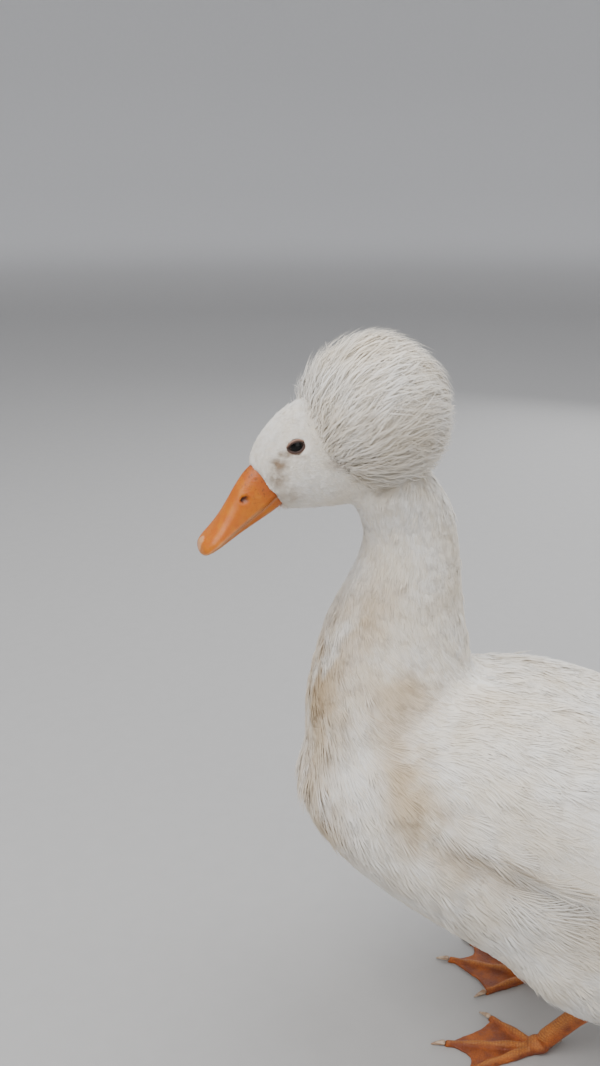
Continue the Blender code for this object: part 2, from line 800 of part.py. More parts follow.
def crest(name, neighbours):
    """Round crest of flat, tapered locks that rise from two cores and sweep back over each other."""
    trees = [surface_tree(near) for near in neighbours]
    middle = Vector(CREST_MIDDLE_MM) * MM
    forward = Vector((math.sin(HEAD_TURN), -math.cos(HEAD_TURN), 0))
    front = middle + (forward * CREST_FRONT_AHEAD_MM + Vector((0, 0, CREST_FRONT_UP_MM))) * MM
    sweep = (-forward - Vector((0, 0, CREST_FALL))).normalized()
    crown = (forward + Vector((0, 0, 1))).normalized()
    locks = []
    for i, out in enumerate(even_directions(CREST_LOCKS)):
        reach = CREST_REACH_MM * (1 - CREST_UNEVEN * (1 - math.sin(2.4 * i)))
        reach *= 1 + CREST_FRONT_SWELL * max(out.dot(crown), 0)
        ahead = max(out.dot(forward), 0)
        drift = sweep - out * sweep.dot(out)
        amount = CREST_SWEEP + (CREST_FRONT_SWEEP - CREST_SWEEP) * min(2 * ahead, 1)
        lean = (out + drift * amount).normalized()
        tip = middle + lean * (reach * MM)
        knee = middle + out * (0.86 * reach * MM)
        if depth_outside(trees, tip) < CREST_CLEAR_MM * MM:
            continue
        if depth_outside(trees, knee) < 0:
            continue
        root = middle.lerp(front, min(2 * ahead, 1))
        points = lock_path(root, knee, tip)
        outs = [(p - middle).normalized() if t else out for (t, _, _), p in zip(LOCK_STATIONS, points)]
        stations = []
        for (_, wide, thick), place, (side, up) in zip(LOCK_STATIONS, points, along_path(points, outs)):
            half_wide = CREST_LOCK_WIDTH_MM / 2 * wide * MM
            half_thick = CREST_LOCK_THICKNESS_MM / 2 * thick * MM
            stations.append((place, side, up, half_wide, half_thick))
        locks.append(lock(stations))
    locks.append(ellipsoid("front_core", front, [CREST_FRONT_CORE_MM] * 3, None, 12, 7))
    return join(ellipsoid(name, middle, [CREST_CORE_MM] * 3, None, 12, 7), locks, solver="MANIFOLD")


def wing_spread(u, v):
    """Distance along the torso and angle round it, at shares from front to rear and low to high."""
    front = WING_FRONT_MM[0] + (WING_FRONT_MM[1] - WING_FRONT_MM[0]) * v
    rear = WING_REAR_MM[0] + (WING_REAR_MM[1] - WING_REAR_MM[0]) * v
    low = smooth_curve((0, 0.5, 1), WING_LOW_DEG)(u)
    high = smooth_curve((0, 0.5, 1), WING_HIGH_DEG)(u)
    return front + (rear - front) * u, low + (high - low) * v


def wing_point(side, along, degrees, rise):
    """Point over the side of the torso, risen from its surface, and more so over the rump."""
    angle = math.radians(degrees)
    here = torso_point(along, angle)
    back = here - torso_point(along - 2, angle)
    round_it = torso_point(along, angle + 0.02) - torso_point(along, angle - 0.02)
    out = back.cross(round_it).normalized()
    if out.x < 0:
        out = -out
    over = max(along - WING_LIFT_FROM_MM, 0) / 100
    place = here + out * ((rise + WING_LIFT_MM * over ** 1.5) * MM)
    return Vector((side * place.x, place.y, place.z))


def swelling(u, v):
    """How far the wing stands out from the torso, at shares from front to rear and low to high."""
    return WING_EDGE_MM + WING_SWELL_MM * (math.sin(math.pi * u) * math.sin(math.pi * v)) ** WING_SWELL_POWER


def wing_shell(side, name):
    """Folded wing as one swelling over the side of the torso."""
    rows = WING_ROWS
    columns = WING_COLUMNS
    outer = []
    inner = []
    for i in range(rows + 1):
        for j in range(columns + 1):
            along, degrees = wing_spread(i / rows, j / columns)
            outer.append(wing_point(side, along, degrees, swelling(i / rows, j / columns)))
            inner.append(wing_point(side, along, degrees, -WING_SINK_MM))
    width = columns + 1
    count = len(outer)
    faces = []
    for i in range(rows):
        for j in range(columns):
            a = i * width + j
            quad = (a, a + 1, a + width + 1, a + width)
            faces.append(quad)
            faces.append(tuple(count + k for k in quad[::-1]))
    rim = list(range(width))
    rim += [i * width + columns for i in range(1, rows + 1)]
    rim += [rows * width + j for j in range(columns - 1, -1, -1)]
    rim += [i * width for i in range(rows - 1, 0, -1)]
    for a, b in zip(rim, rim[1:] + rim[:1]):
        faces.append((a, b, count + b, count + a))
    return mesh_object(name, outer + inner, faces)


def shell_rise(along, degrees):
    """How far the wing's shell stands out at a place over the torso."""
    u = 0.5
    for _ in range(4):
        low = wing_spread(u, 0)[1]
        high = wing_spread(u, 1)[1]
        v = min(max((degrees - low) / (high - low), 0), 1)
        front = wing_spread(0, v)[0]
        rear = wing_spread(1, v)[0]
        u = min(max((along - front) / (rear - front), 0), 1)
    return swelling(u, v)


def vane_over(points, outs, shape, width, tilt):
    """Vane along a path, tilted about it so that one edge lies over the next vane."""
    stations = []
    for (t, wide), place, (across, up) in zip(shape, points, along_path(points, outs)):
        roll = Matrix.Rotation(tilt, 3, across.cross(up))
        thick = VANE_THICKNESS_MM / 2 * (1 - VANE_THINNING * t ** 3)
        stations.append((place, roll @ across, roll @ up, width / 2 * wide * MM, thick * MM))
    return vane(stations)


def between(ends, share):
    """Value at a share of the way between two ends."""
    return ends[0] + (ends[1] - ends[0]) * share


def wing_vane(side, root, tip, shape, width, proud):
    """Vane laid over the wing from its root in the shell to its tip, each as (along, angle)."""
    points = []
    outs = []
    for t, _ in shape:
        along = root[0] + (tip[0] - root[0]) * t
        degrees = root[1] + (tip[1] - root[1]) * t
        rise = shell_rise(along, degrees) - VANE_SINK_MM * (1 - t) ** 2 + proud * t + VANE_RISE_MM
        place = wing_point(side, along, degrees, rise)
        points.append(place)
        outs.append((wing_point(side, along, degrees, rise + 1) - place).normalized())
    return vane_over(points, outs, shape, width, VANE_TILT * side)


def wing(side, name):
    """Folded wing: a shell over the side of the torso, and tiers of vanes rooted in it."""
    vanes = []
    for shape, tiers in ((VANE_STATIONS, FLIGHT_TIERS), (COVERT_STATIONS, COVERT_TIERS)):
        for count, roots, tips, root_angles, tip_angles, width, proud in tiers:
            for i in range(count):
                share = i / (count - 1)
                root = (between(roots, share), between(root_angles, share))
                tip = (between(tips, share), between(tip_angles, share))
                vanes.append(wing_vane(side, root, tip, shape, width, proud))
    return join(wing_shell(side, name), vanes, solver="MANIFOLD")


def tail_frame():
    """Matrix of the tail's frame, x to its left, y to the rear and z up."""
    return Matrix.Translation(Vector(TAIL_ROOT_MM) * MM) @ Matrix.Rotation(TAIL_RISE, 4, "X")


def tail_vane(place, length, width, heights, shape):
    """Vane of the tail, at a place across it from -1 to 1, with the heights of its root and tip."""
    frame = tail_frame()
    turn = place * TAIL_SPREAD / 2
    points = []
    for t, _ in shape:
        reach = between((-TAIL_SINK_MM, length), t)
        across = place * TAIL_ROOT_HALF_MM + reach * math.sin(turn)
        points.append(frame @ (Vector((across, reach * math.cos(turn), between(heights, t))) * MM))
    outs = [frame.to_3x3() @ Vector((0, 0, 1))] * len(points)
    return vane_over(points, outs, shape, width, turn * TAIL_ROOF)


def tail(name):
    """Tail: a core at the rump, flight vanes in a fan, and coverts above and below."""
    vanes = []
    for count, share, width, root_height, tip_height, drop, shape in TAIL_LAYERS:
        for i in range(count):
            place = 2 * i / (count - 1) - 1
            length = TAIL_LENGTH_MM * share * (1 - TAIL_ROUNDING * place * place)
            lower = drop * abs(place) ** 1.5
            vanes.append(tail_vane(place, length, width, (root_height - lower, tip_height - lower), shape))
    core = tail_frame() @ (Vector((0, TAIL_CORE_BACK_MM, 0)) * MM)
    turn = tail_frame().to_3x3().to_4x4()
    return join(ellipsoid(name, core, TAIL_CORE_MM, turn, 16, 10), vanes, solver="MANIFOLD")


def centre_origin():
    """Move the duck so that the origin is at the middle of its bounding box, on the floor."""
    bpy.context.view_layer.update()
    meshes = [o for o in bpy.context.scene.objects if o.type == "MESH"]
    points = np.array([v.co[:] for o in meshes for v in o.data.vertices])
    low = points.min(axis=0)
    high = points.max(axis=0)
    shift = Vector((-(low[0] + high[0]) / 2, -(low[1] + high[1]) / 2, 0))
    for made in meshes:
        made.data.transform(Matrix.Translation(shift))


def main():
    """Build the duck."""
    clear_scene()
    body = torso()
    skull_part = head_with_lids()
    nape = neck()
    clear_of(nape, body, skull_part)
    bill_top = bill("bill_upper", True)
    bill_low = bill("bill_lower", False)
    eyes = [eye(LEFT, "eye_left"), eye(RIGHT, "eye_right")]
    clear_of(skull_part, bill_top, bill_low, *eyes)
    crest_part = crest("crest", (skull_part, nape))
    clear_of(crest_part, skull_part, nape, gap=CREST_GAP, solver="MANIFOLD")
    wings = [wing(LEFT, "wing_left"), wing(RIGHT, "wing_right")]
    for wing_part in wings:
        clear_of(wing_part, body, nape, solver="MANIFOLD")
    tail_part = clear_of(tail("tail"), body, *wings, solver="MANIFOLD")
    legs = []
    for side, word in ((LEFT, "left"), (RIGHT, "right")):
        upper = clear_of(thigh(side, "thigh_" + word), body)
        foot_part = foot(side, "foot_" + word)
        claws = []
        for toe_name, angle, length, _ in TOES:
            claws.append(claw(side, angle, length - CLAW_LENGTH_MM, "claw_" + toe_name + "_" + word))
        claws.append(claw(side, HIND_TOE_ANGLE, HIND_TOE_MM - 5.0, "claw_hind_" + word))
        clear_of(foot_part, *claws)
        lower = clear_of(shank(side, "shank_" + word), upper, foot_part)
        legs.append((upper, lower, foot_part, claws))
    for made in (body, skull_part, nape, crest_part, tail_part, *wings):
        finish(made, made.name, "plumage")
    for made in (bill_top, bill_low):
        finish(made, made.name, "bill")
    for made in eyes:
        finish(made, made.name, "eye")
    for upper, lower, foot_part, claws in legs:
        finish(upper, upper.name, "plumage")
        finish(lower, lower.name, "leg")
        finish(foot_part, foot_part.name, "leg")
        for made in claws:
            finish(made, made.name, "claw")
    centre_origin()


main()
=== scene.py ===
"""Looks of a life-size still model of a white crested duck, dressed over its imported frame.

Metres, +Z up. The duck faces -Y and its left side is +X, as in the frame. One skin covers torso,
neck, head and thighs. Over it lie small feathers in tufts, vanes on the wings and the tail, and
the locks of the crest. Bill, eyes, lids, legs and claws are pieces of their own.
"""

import json
import logging
from collections.abc import Callable, Iterator
from contextlib import contextmanager
from dataclasses import dataclass
from enum import Enum
from math import ceil, cos, pi, radians, sin, sqrt, tan

import bmesh
import bpy
import numpy as np
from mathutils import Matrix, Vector
from mathutils.bvhtree import BVHTree
from numpy.random import Generator, default_rng

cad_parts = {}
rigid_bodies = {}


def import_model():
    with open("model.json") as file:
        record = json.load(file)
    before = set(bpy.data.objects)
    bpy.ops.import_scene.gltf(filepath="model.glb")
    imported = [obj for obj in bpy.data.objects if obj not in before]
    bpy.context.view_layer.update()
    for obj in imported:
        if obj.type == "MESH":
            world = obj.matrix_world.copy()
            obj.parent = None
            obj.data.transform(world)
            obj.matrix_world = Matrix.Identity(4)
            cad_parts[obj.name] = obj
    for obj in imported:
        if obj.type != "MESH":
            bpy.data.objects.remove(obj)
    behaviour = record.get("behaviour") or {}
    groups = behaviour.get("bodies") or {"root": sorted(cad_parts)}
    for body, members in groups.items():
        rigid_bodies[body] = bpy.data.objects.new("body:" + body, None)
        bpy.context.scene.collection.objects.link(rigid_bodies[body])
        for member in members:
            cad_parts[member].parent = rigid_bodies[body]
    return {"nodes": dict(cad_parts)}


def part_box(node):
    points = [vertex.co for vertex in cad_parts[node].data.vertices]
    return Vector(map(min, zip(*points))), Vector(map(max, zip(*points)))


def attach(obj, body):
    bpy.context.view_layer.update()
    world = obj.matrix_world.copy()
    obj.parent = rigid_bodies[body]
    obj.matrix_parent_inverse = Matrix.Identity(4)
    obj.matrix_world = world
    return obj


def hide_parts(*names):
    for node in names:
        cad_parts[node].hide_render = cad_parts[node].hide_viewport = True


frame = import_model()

Array = np.ndarray
Mesh = bpy.types.Mesh
Object = bpy.types.Object
Material = bpy.types.Material
Node = bpy.types.Node
Socket = bpy.types.NodeSocket
Pool = bpy.types.Collection
Shape = bmesh.types.BMesh

LOG = logging.getLogger("duck")
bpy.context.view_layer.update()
ROOT = "root"
BAKE_MAP = "OFBake"
MM = 0.001
WELD = 1e-6
TURN = 2 * pi


class Side(Enum):
    """A side of the duck, with the sign of its x."""

    LEFT = 1
    RIGHT = -1

    @property
    def word(self) -> str:
        """Ending of the node names on this side."""
        return self.name.lower()


class Slot(Enum):
    """Material slots of the record."""

    PLUMAGE = "plumage"
    BILL = "bill"
    EYE = "eye"
    LEG = "leg"
    CLAW = "claw"


class Region(Enum):
    """Parts of the coat, each one piece."""

    FACE = 0
    NECK = 1
    NAPE = 2
    BREAST = 3
    FLANK_LEFT = 4
    FLANK_RIGHT = 5
    BACK = 6
    BELLY = 7
    WING_LEFT = 8
    WING_RIGHT = 9


def smoothstep(low: float, high: float, value: Array | float) -> Array:
    """Smooth ramp from 0 at low to 1 at high."""
    share = np.clip((np.asarray(value, float) - low) / (high - low), 0.0, 1.0)
    return share * share * (3.0 - 2.0 * share)


def unit(vectors: Array) -> Array:
    """Vectors scaled to length one."""
    return vectors / np.maximum(np.linalg.norm(vectors, axis=-1, keepdims=True), 1e-12)


def along_surface(vectors: Array, normals: Array) -> Array:
    """Part of each vector that lies along the surface with these normals."""
    return vectors - normals * np.sum(vectors * normals, axis=1, keepdims=True)


def curve_through(xs: tuple, ys: tuple) -> Callable[[Array | float], Array]:
    """Piecewise smooth function through points.

    Args:
        xs: Rising places.
        ys: Values there.

    Returns:
        A function of an array of places.
    """
    xs = np.array(xs, float)
    ys = np.array(ys, float)
    slopes = np.gradient(ys, xs)

    def value_at(x: Array | float) -> Array:
        """Value of the function.

        Args:
            x: Places, held within the first and the last.

        Returns:
            The value at each.
        """
        x = np.clip(np.asarray(x, float), xs[0], xs[-1])
        i = np.clip(np.searchsorted(xs, x) - 1, 0, len(xs) - 2)
        h = xs[i + 1] - xs[i]
        t = (x - xs[i]) / h
        start = (1 + 2 * t) * (1 - t) ** 2 * ys[i] + t * (1 - t) ** 2 * h * slopes[i]
        end = t * t * (3 - 2 * t) * ys[i + 1] + t * t * (t - 1) * h * slopes[i + 1]
        return start + end

    return value_at


def lattice_noise(points: Array, scale: float, seed: int) -> Array:
    """Smooth noise from -1 to 1 at points in space.

    Args:
        points: Places, one row each.
        scale: Size of its cells in metres.
        seed: Which noise.

    Returns:
        One value for each place.
    """
    size = 32
    table = default_rng(seed).uniform(-1.0, 1.0, (size, size, size))
    q = points / scale
    base = np.floor(q).astype(int)
    t = q - base
    t = t * t * (3 - 2 * t)
    total = np.zeros(len(points))
    for corner in range(8):
        step = np.array([corner & 1, corner >> 1 & 1, corner >> 2 & 1])
        weight = np.prod(np.where(step == 1, t, 1 - t), axis=1)
        cell = (base + step) % size
        total += weight * table[cell[:, 0], cell[:, 1], cell[:, 2]]
    return total


def read_rows(rows: bpy.types.bpy_prop_collection, key: str, width: int = 1, kind: type = float) -> Array:
    """Values of one property of a mesh's rows.

    Args:
        rows: The rows, such as vertices.
        key: The property.
        width: Numbers in a row.
        kind: Their type.

    Returns:
        An array of rows, flat for a width of one.
    """
    flat = np.empty(len(rows) * width, kind)
    rows.foreach_get(key, flat)
    return flat.reshape(-1, width) if width > 1 else flat


def vertex_array(mesh: Mesh) -> Array:
    """Places of a mesh's vertices."""
    return read_rows(mesh.vertices, "co", 3)


def vertex_normals(mesh: Mesh) -> Array:
    """Normals at a mesh's vertices."""
    return read_rows(mesh.vertex_normals, "vector", 3)


def corner_vertices(mesh: Mesh) -> Array:
    """Number of the vertex at each face corner of a mesh."""
    return read_rows(mesh.loops, "vertex_index", 1, int)


def set_vertices(mesh: Mesh, points: Array) -> None:
    """Move a mesh's vertices to these places."""
    mesh.vertices.foreach_set("co", np.ascontiguousarray(points, float).ravel())
    mesh.update()


def point_attribute(mesh: Mesh, name: str, values: Array) -> None:
    """Store an attribute of numbers, or of vectors where the values have rows, on a mesh's points.

    Args:
        mesh: The mesh.
        name: Name of the attribute.
        values: A number or a vector for each point.
    """
    kind, key = ("FLOAT", "value") if np.ndim(values) == 1 else ("FLOAT_VECTOR", "vector")
    made = mesh.attributes.new(name, kind, "POINT")
    made.data.foreach_set(key, np.ascontiguousarray(values, float).ravel())


def bake_map(mesh: Mesh, chart: Array) -> None:
    """Give a mesh its bake map, with one place for each face corner.

    Args:
        mesh: The mesh.
        chart: A place for each corner.
    """
    made = mesh.uv_layers.new(name=BAKE_MAP)
    made.data.foreach_set("uv", np.clip(chart, 0.0, 1.0).ravel())
    mesh.uv_layers.active = made


def make_object(name: str, data: bpy.types.ID) -> Object:
    """An object of a mesh, a light or a camera, linked to the scene.

    Args:
        name: Its name.
        data: What it shows.

    Returns:
        The object.
    """
    made = bpy.data.objects.new(name, data)
    bpy.context.scene.collection.objects.link(made)
    return made


def mesh_object(name: str, points: Array, faces: list | Array, smooth: bool = True) -> Object:
    """An object from points and faces.

    Args:
        name: Name of object and mesh.
        points: One row each.
        faces: Tuples of indices, or rows.
        smooth: Whether shaded smooth.

    Returns:
        The object.
    """
    mesh = bpy.data.meshes.new(name)
    rows = faces.tolist() if isinstance(faces, Array) else faces
    mesh.from_pydata(np.asarray(points).tolist(), [], rows)
    if smooth:
        mesh.shade_smooth()
    return make_object(name, mesh)


def ring_faces(rings: int, steps: int, closed: bool = False) -> list:
    """Faces between rings of points.

    Args:
        rings: How many rings.
        steps: Points in each.
        closed: Whether the last ring joins the first.

    Returns:
        Tuples of four indices.
    """
    faces = []
    for r in range(rings if closed else rings - 1):
        here, there = r * steps, (r + 1) % rings * steps
        for k in range(steps):
            after = (k + 1) % steps
            faces.append((here + k, here + after, there + after, there + k))
    return faces


def rod_faces(rings: int) -> list:
    """Faces of a closed rod of three sides that ends in a tip.

    Args:
        rings: Rings of three points before the tip.

    Returns:
        Tuples of three indices.
    """
    tip = 3 * rings
    last = tip - 3
    faces = []
    for a in range(0, last, 3):
        for i, j in ((0, 1), (1, 2), (2, 0)):
            faces += [(a + i, a + j, a + 3 + j), (a + i, a + 3 + j, a + 3 + i)]
    return faces + [(last + i, last + (i + 1) % 3, tip) for i in range(3)] + [(0, 2, 1)]


@contextmanager
def shaping(mesh: Mesh) -> Iterator[Shape]:
    """Edit a mesh as a BMesh and write it back.

    Args:
        mesh: The mesh to change.

    Yields:
        The BMesh.
    """
    shaped = bmesh.new()
    shaped.from_mesh(mesh)
    yield shaped
    shaped.to_mesh(mesh)
    shaped.free()


def mesh_of(shaped: Shape, name: str) -> Mesh:
    """New mesh of a BMesh, which is freed.

    Args:
        shaped: The BMesh.
        name: Name of the mesh.

    Returns:
        The mesh.
    """
    mesh = bpy.data.meshes.new(name)
    shaped.to_mesh(mesh)
    shaped.free()
    return mesh


def merged_node(node: str, inflate: float = 0.0) -> Shape:
    """Merged copy of a CAD node, a little larger, so that neighbours overlap.

    Args:
        node: Its name.
        inflate: How far vertices move out.

    Returns:
        Its BMesh.
    """
    shaped = bmesh.new()
    shaped.from_mesh(frame["nodes"][node].data)
    bmesh.ops.remove_doubles(shaped, verts=shaped.verts, dist=WELD)
    shaped.normal_update()
    moved = [v.co + v.normal * inflate for v in shaped.verts]
    for v, place in zip(shaped.verts, moved):
        v.co = place
    return shaped


def turn_outwards(made: Object, weld: bool = False) -> None:
    """Point a closed mesh's normals out.

    Args:
        made: Its object.
        weld: Whether doubles are merged first.
    """
    with shaping(made.data) as shaped:
        if weld:
            bmesh.ops.remove_doubles(shaped, verts=shaped.verts, dist=WELD)
        bmesh.ops.recalc_face_normals(shaped, faces=shaped.faces)


def settle(made: Object) -> Object:
    """Give an object the mesh that its modifiers make, and remove them.

    Args:
        made: The object.

    Returns:
        The same object.
    """
    graph = bpy.context.evaluated_depsgraph_get()
    mesh = bpy.data.meshes.new_from_object(
        made.evaluated_get(graph), preserve_all_data_layers=True, depsgraph=graph
    )
    made.modifiers.clear()
    made.data = mesh
    mesh.name = made.name
    return made


def voxel_skin(name: str, shapes: list, voxel: float) -> Object:
    """One closed skin over overlapping shapes.

    Args:
        name: Name of the skin.
        shapes: The shapes, which are freed.
        voxel: Size of its cells.

    Returns:
        The skin.
    """
    joined = bmesh.new()
    for shape in shapes:
        scratch = mesh_of(shape, "scratch")
        joined.from_mesh(scratch)
        bpy.data.meshes.remove(scratch)
    made = make_object(name, mesh_of(joined, name))
    change = made.modifiers.new("remesh", "REMESH")
    change.mode = "VOXEL"
    change.voxel_size = voxel
    return settle(made)


def dress(made: Object, material: Material) -> None:
    """Give an object one material."""
    made.data.materials.clear()
    made.data.materials.append(material)


def closed_piece(name: str, points: Array, faces: list | Array, material: Material, weld: bool = False,
                 **marks: Array) -> Object:
    """A closed piece with its normals out.

    Args:
        name: Its name.
        points: One row each.
        faces: Tuples of indices, or rows.
        material: Its finish.
        weld: Whether doubles are merged.
        **marks: Attributes of the points.

    Returns:
        The piece.
    """
    made = mesh_object(name, points, faces)
    for key, values in marks.items():
        point_attribute(made.data, key, values)
    turn_outwards(made, weld)
    dress(made, material)
    return made


def aim(name: str, data: bpy.types.ID, place: Vector, look: Vector) -> Object:
    """Put a light or a camera in the scene.

    Args:
        name: Its name.
        data: The light or camera.
        place: Where it stands.
        look: Which way it looks.

    Returns:
        The object.
    """
    made = make_object(name, data)
    made.location = place
    made.rotation_euler = look.to_track_quat("-Z", "Y").to_euler()
    return made


def seat(made: Object, slot: Slot, *nodes: str) -> None:
    """Ride a piece on the body.

    Args:
        made: The finished piece.
        slot: Its material slot, not used.
        *nodes: CAD nodes that it stands for.
    """
    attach(made, ROOT)
    if nodes:
        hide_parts(*nodes)
    LOG.info("%s: %d triangles", made.name, sum(len(p.vertices) - 2 for p in made.data.polygons))


def soften(mesh: Mesh, towards: Array, share: float) -> None:
    """Blend a mesh's shading normals with those of the form that it lies on, but not on undersides.

    Args:
        mesh: The mesh.
        towards: Normal of the form at each vertex.
        share: Share of the form's normal.
    """
    corners = corner_vertices(mesh)
    sizes = read_rows(mesh.polygons, "loop_total", 1, int)
    flat = np.repeat(read_rows(mesh.polygons, "normal", 3), sizes, axis=0)
    form = unit(towards)[corners]
    own = vertex_normals(mesh)[corners]
    under = np.sum(flat * form, axis=1, keepdims=True) < -0.02
    blend = unit(np.where(under, flat * 0.7 - form * 0.3, own * (1 - share) + form * share))
    mesh.normals_split_custom_set(blend.tolist())


def relax(mesh: Mesh, rounds: int, weight: Array) -> None:
    """Move a mesh's vertices towards their neighbours' middle.

    Args:
        mesh: The mesh.
        rounds: How many times.
        weight: How far each moves, 0 to 1.
    """
    points = vertex_array(mesh)
    a, b = read_rows(mesh.edges, "vertices", 2, int).T
    count = np.bincount(a, minlength=len(points)) + np.bincount(b, minlength=len(points))
    for _ in range(rounds):
        middle = np.empty_like(points)
        for k in range(3):
            total = np.bincount(a, points[b, k], len(points)) + np.bincount(b, points[a, k], len(points))
            middle[:, k] = total / count
        points += (middle - points) * (0.5 * weight[:, None])
    set_vertices(mesh, points)


class Layout:
    """Places and directions of the duck in the frame."""

    # The tip of the right middle claw in the layout of the part's source
    CLAW_TIP_Y = 0.162 - 0.070 * cos(radians(9.0))
    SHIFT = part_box("claw_middle_right")[0][1] - CLAW_TIP_Y
    HEAD_TURN = radians(29.6)
    HEAD_PITCH = radians(17.0)
    TORSO_SLOPE = radians(20.0)
    UP = np.array([0.0, 0.0, 1.0])

    FORWARD = np.array([sin(HEAD_TURN), -cos(HEAD_TURN), 0.0])
    HEAD_LEFT = np.array([cos(HEAD_TURN), sin(HEAD_TURN), 0.0])
    SKULL = FORWARD * cos(HEAD_PITCH) - UP * sin(HEAD_PITCH)
    HEAD_UP = np.cross(SKULL, HEAD_LEFT)
    EYE_MIDDLE = np.array([0.033, -0.005 + SHIFT, 0.403])
    CREST_MIDDLE = np.array([0.010, 0.0445 + SHIFT, 0.4145])

    TORSO_NOSE = np.array([0.0, -0.001 + SHIFT, 0.190])
    TORSO_ALONG = np.array([0.0, cos(TORSO_SLOPE), -sin(TORSO_SLOPE)])
    TORSO_UP = np.array([0.0, sin(TORSO_SLOPE), cos(TORSO_SLOPE)])
    TORSO_LEVEL = staticmethod(
        curve_through(
            (0, 25, 55, 90, 130, 175, 215, 255, 290, 320, 345),
            (0, 1, 5.4, 7.4, 7.7, 5.8, 6.7, 12.3, 24, 39, 54),
        )
    )
    TAIL_ROOT = np.array([0.0, 0.318 + SHIFT, 0.128])
    TAIL_RISE = radians(5.0)

    @classmethod
    def head_point(cls, forward: float, left: float, up: float) -> Array:
        """Place at millimetres in the head's own frame."""
        return cls.EYE_MIDDLE + (cls.SKULL * forward + cls.HEAD_LEFT * left + cls.HEAD_UP * up) * MM

    @classmethod
    def head_coordinates(cls, points: Array) -> Array:
        """Millimetres in the head's own frame of places in the row's."""
        away = points - cls.EYE_MIDDLE
        return np.stack([away @ cls.SKULL, away @ cls.HEAD_LEFT, away @ cls.HEAD_UP], axis=1) / MM

    @classmethod
    def axis_point(cls, along: float) -> Array:
        """Place on the axis of the torso, at millimetres along it."""
        return cls.TORSO_NOSE + (cls.TORSO_ALONG * along + cls.TORSO_UP * float(cls.TORSO_LEVEL(along))) * MM

    @classmethod
    def torso_coordinates(cls, points: Array) -> tuple:
        """Places round the torso.

        Args:
            points: Places in the row's frame.

        Returns:
            Millimetres along the torso, and degrees up round its axis.
        """
        away = points - cls.TORSO_NOSE
        along = away @ cls.TORSO_ALONG / MM
        up = away @ cls.TORSO_UP / MM - cls.TORSO_LEVEL(along)
        return along, np.degrees(np.arctan2(up, np.abs(points[:, 0]) / MM))


def add_node(tree: bpy.types.NodeTree, kind: str, settings: dict | None, inputs: dict) -> Node:
    """Add a node to a tree.

    Args:
        tree: The tree.
        kind: Its type.
        settings: Its properties.
        inputs: Values or links, with underscores for spaces and in_N for socket N.

    Returns:
        The node.
    """
    made = tree.nodes.new(kind)
    for key, value in (settings or {}).items():
        setattr(made, key, value)
    for key, value in inputs.items():
        socket = made.inputs[int(key[3:])] if key.startswith("in_") else made.inputs[key.replace("_", " ")]
        if isinstance(value, Socket):
            tree.links.new(value, socket)
        else:
            socket.default_value = value
    return made


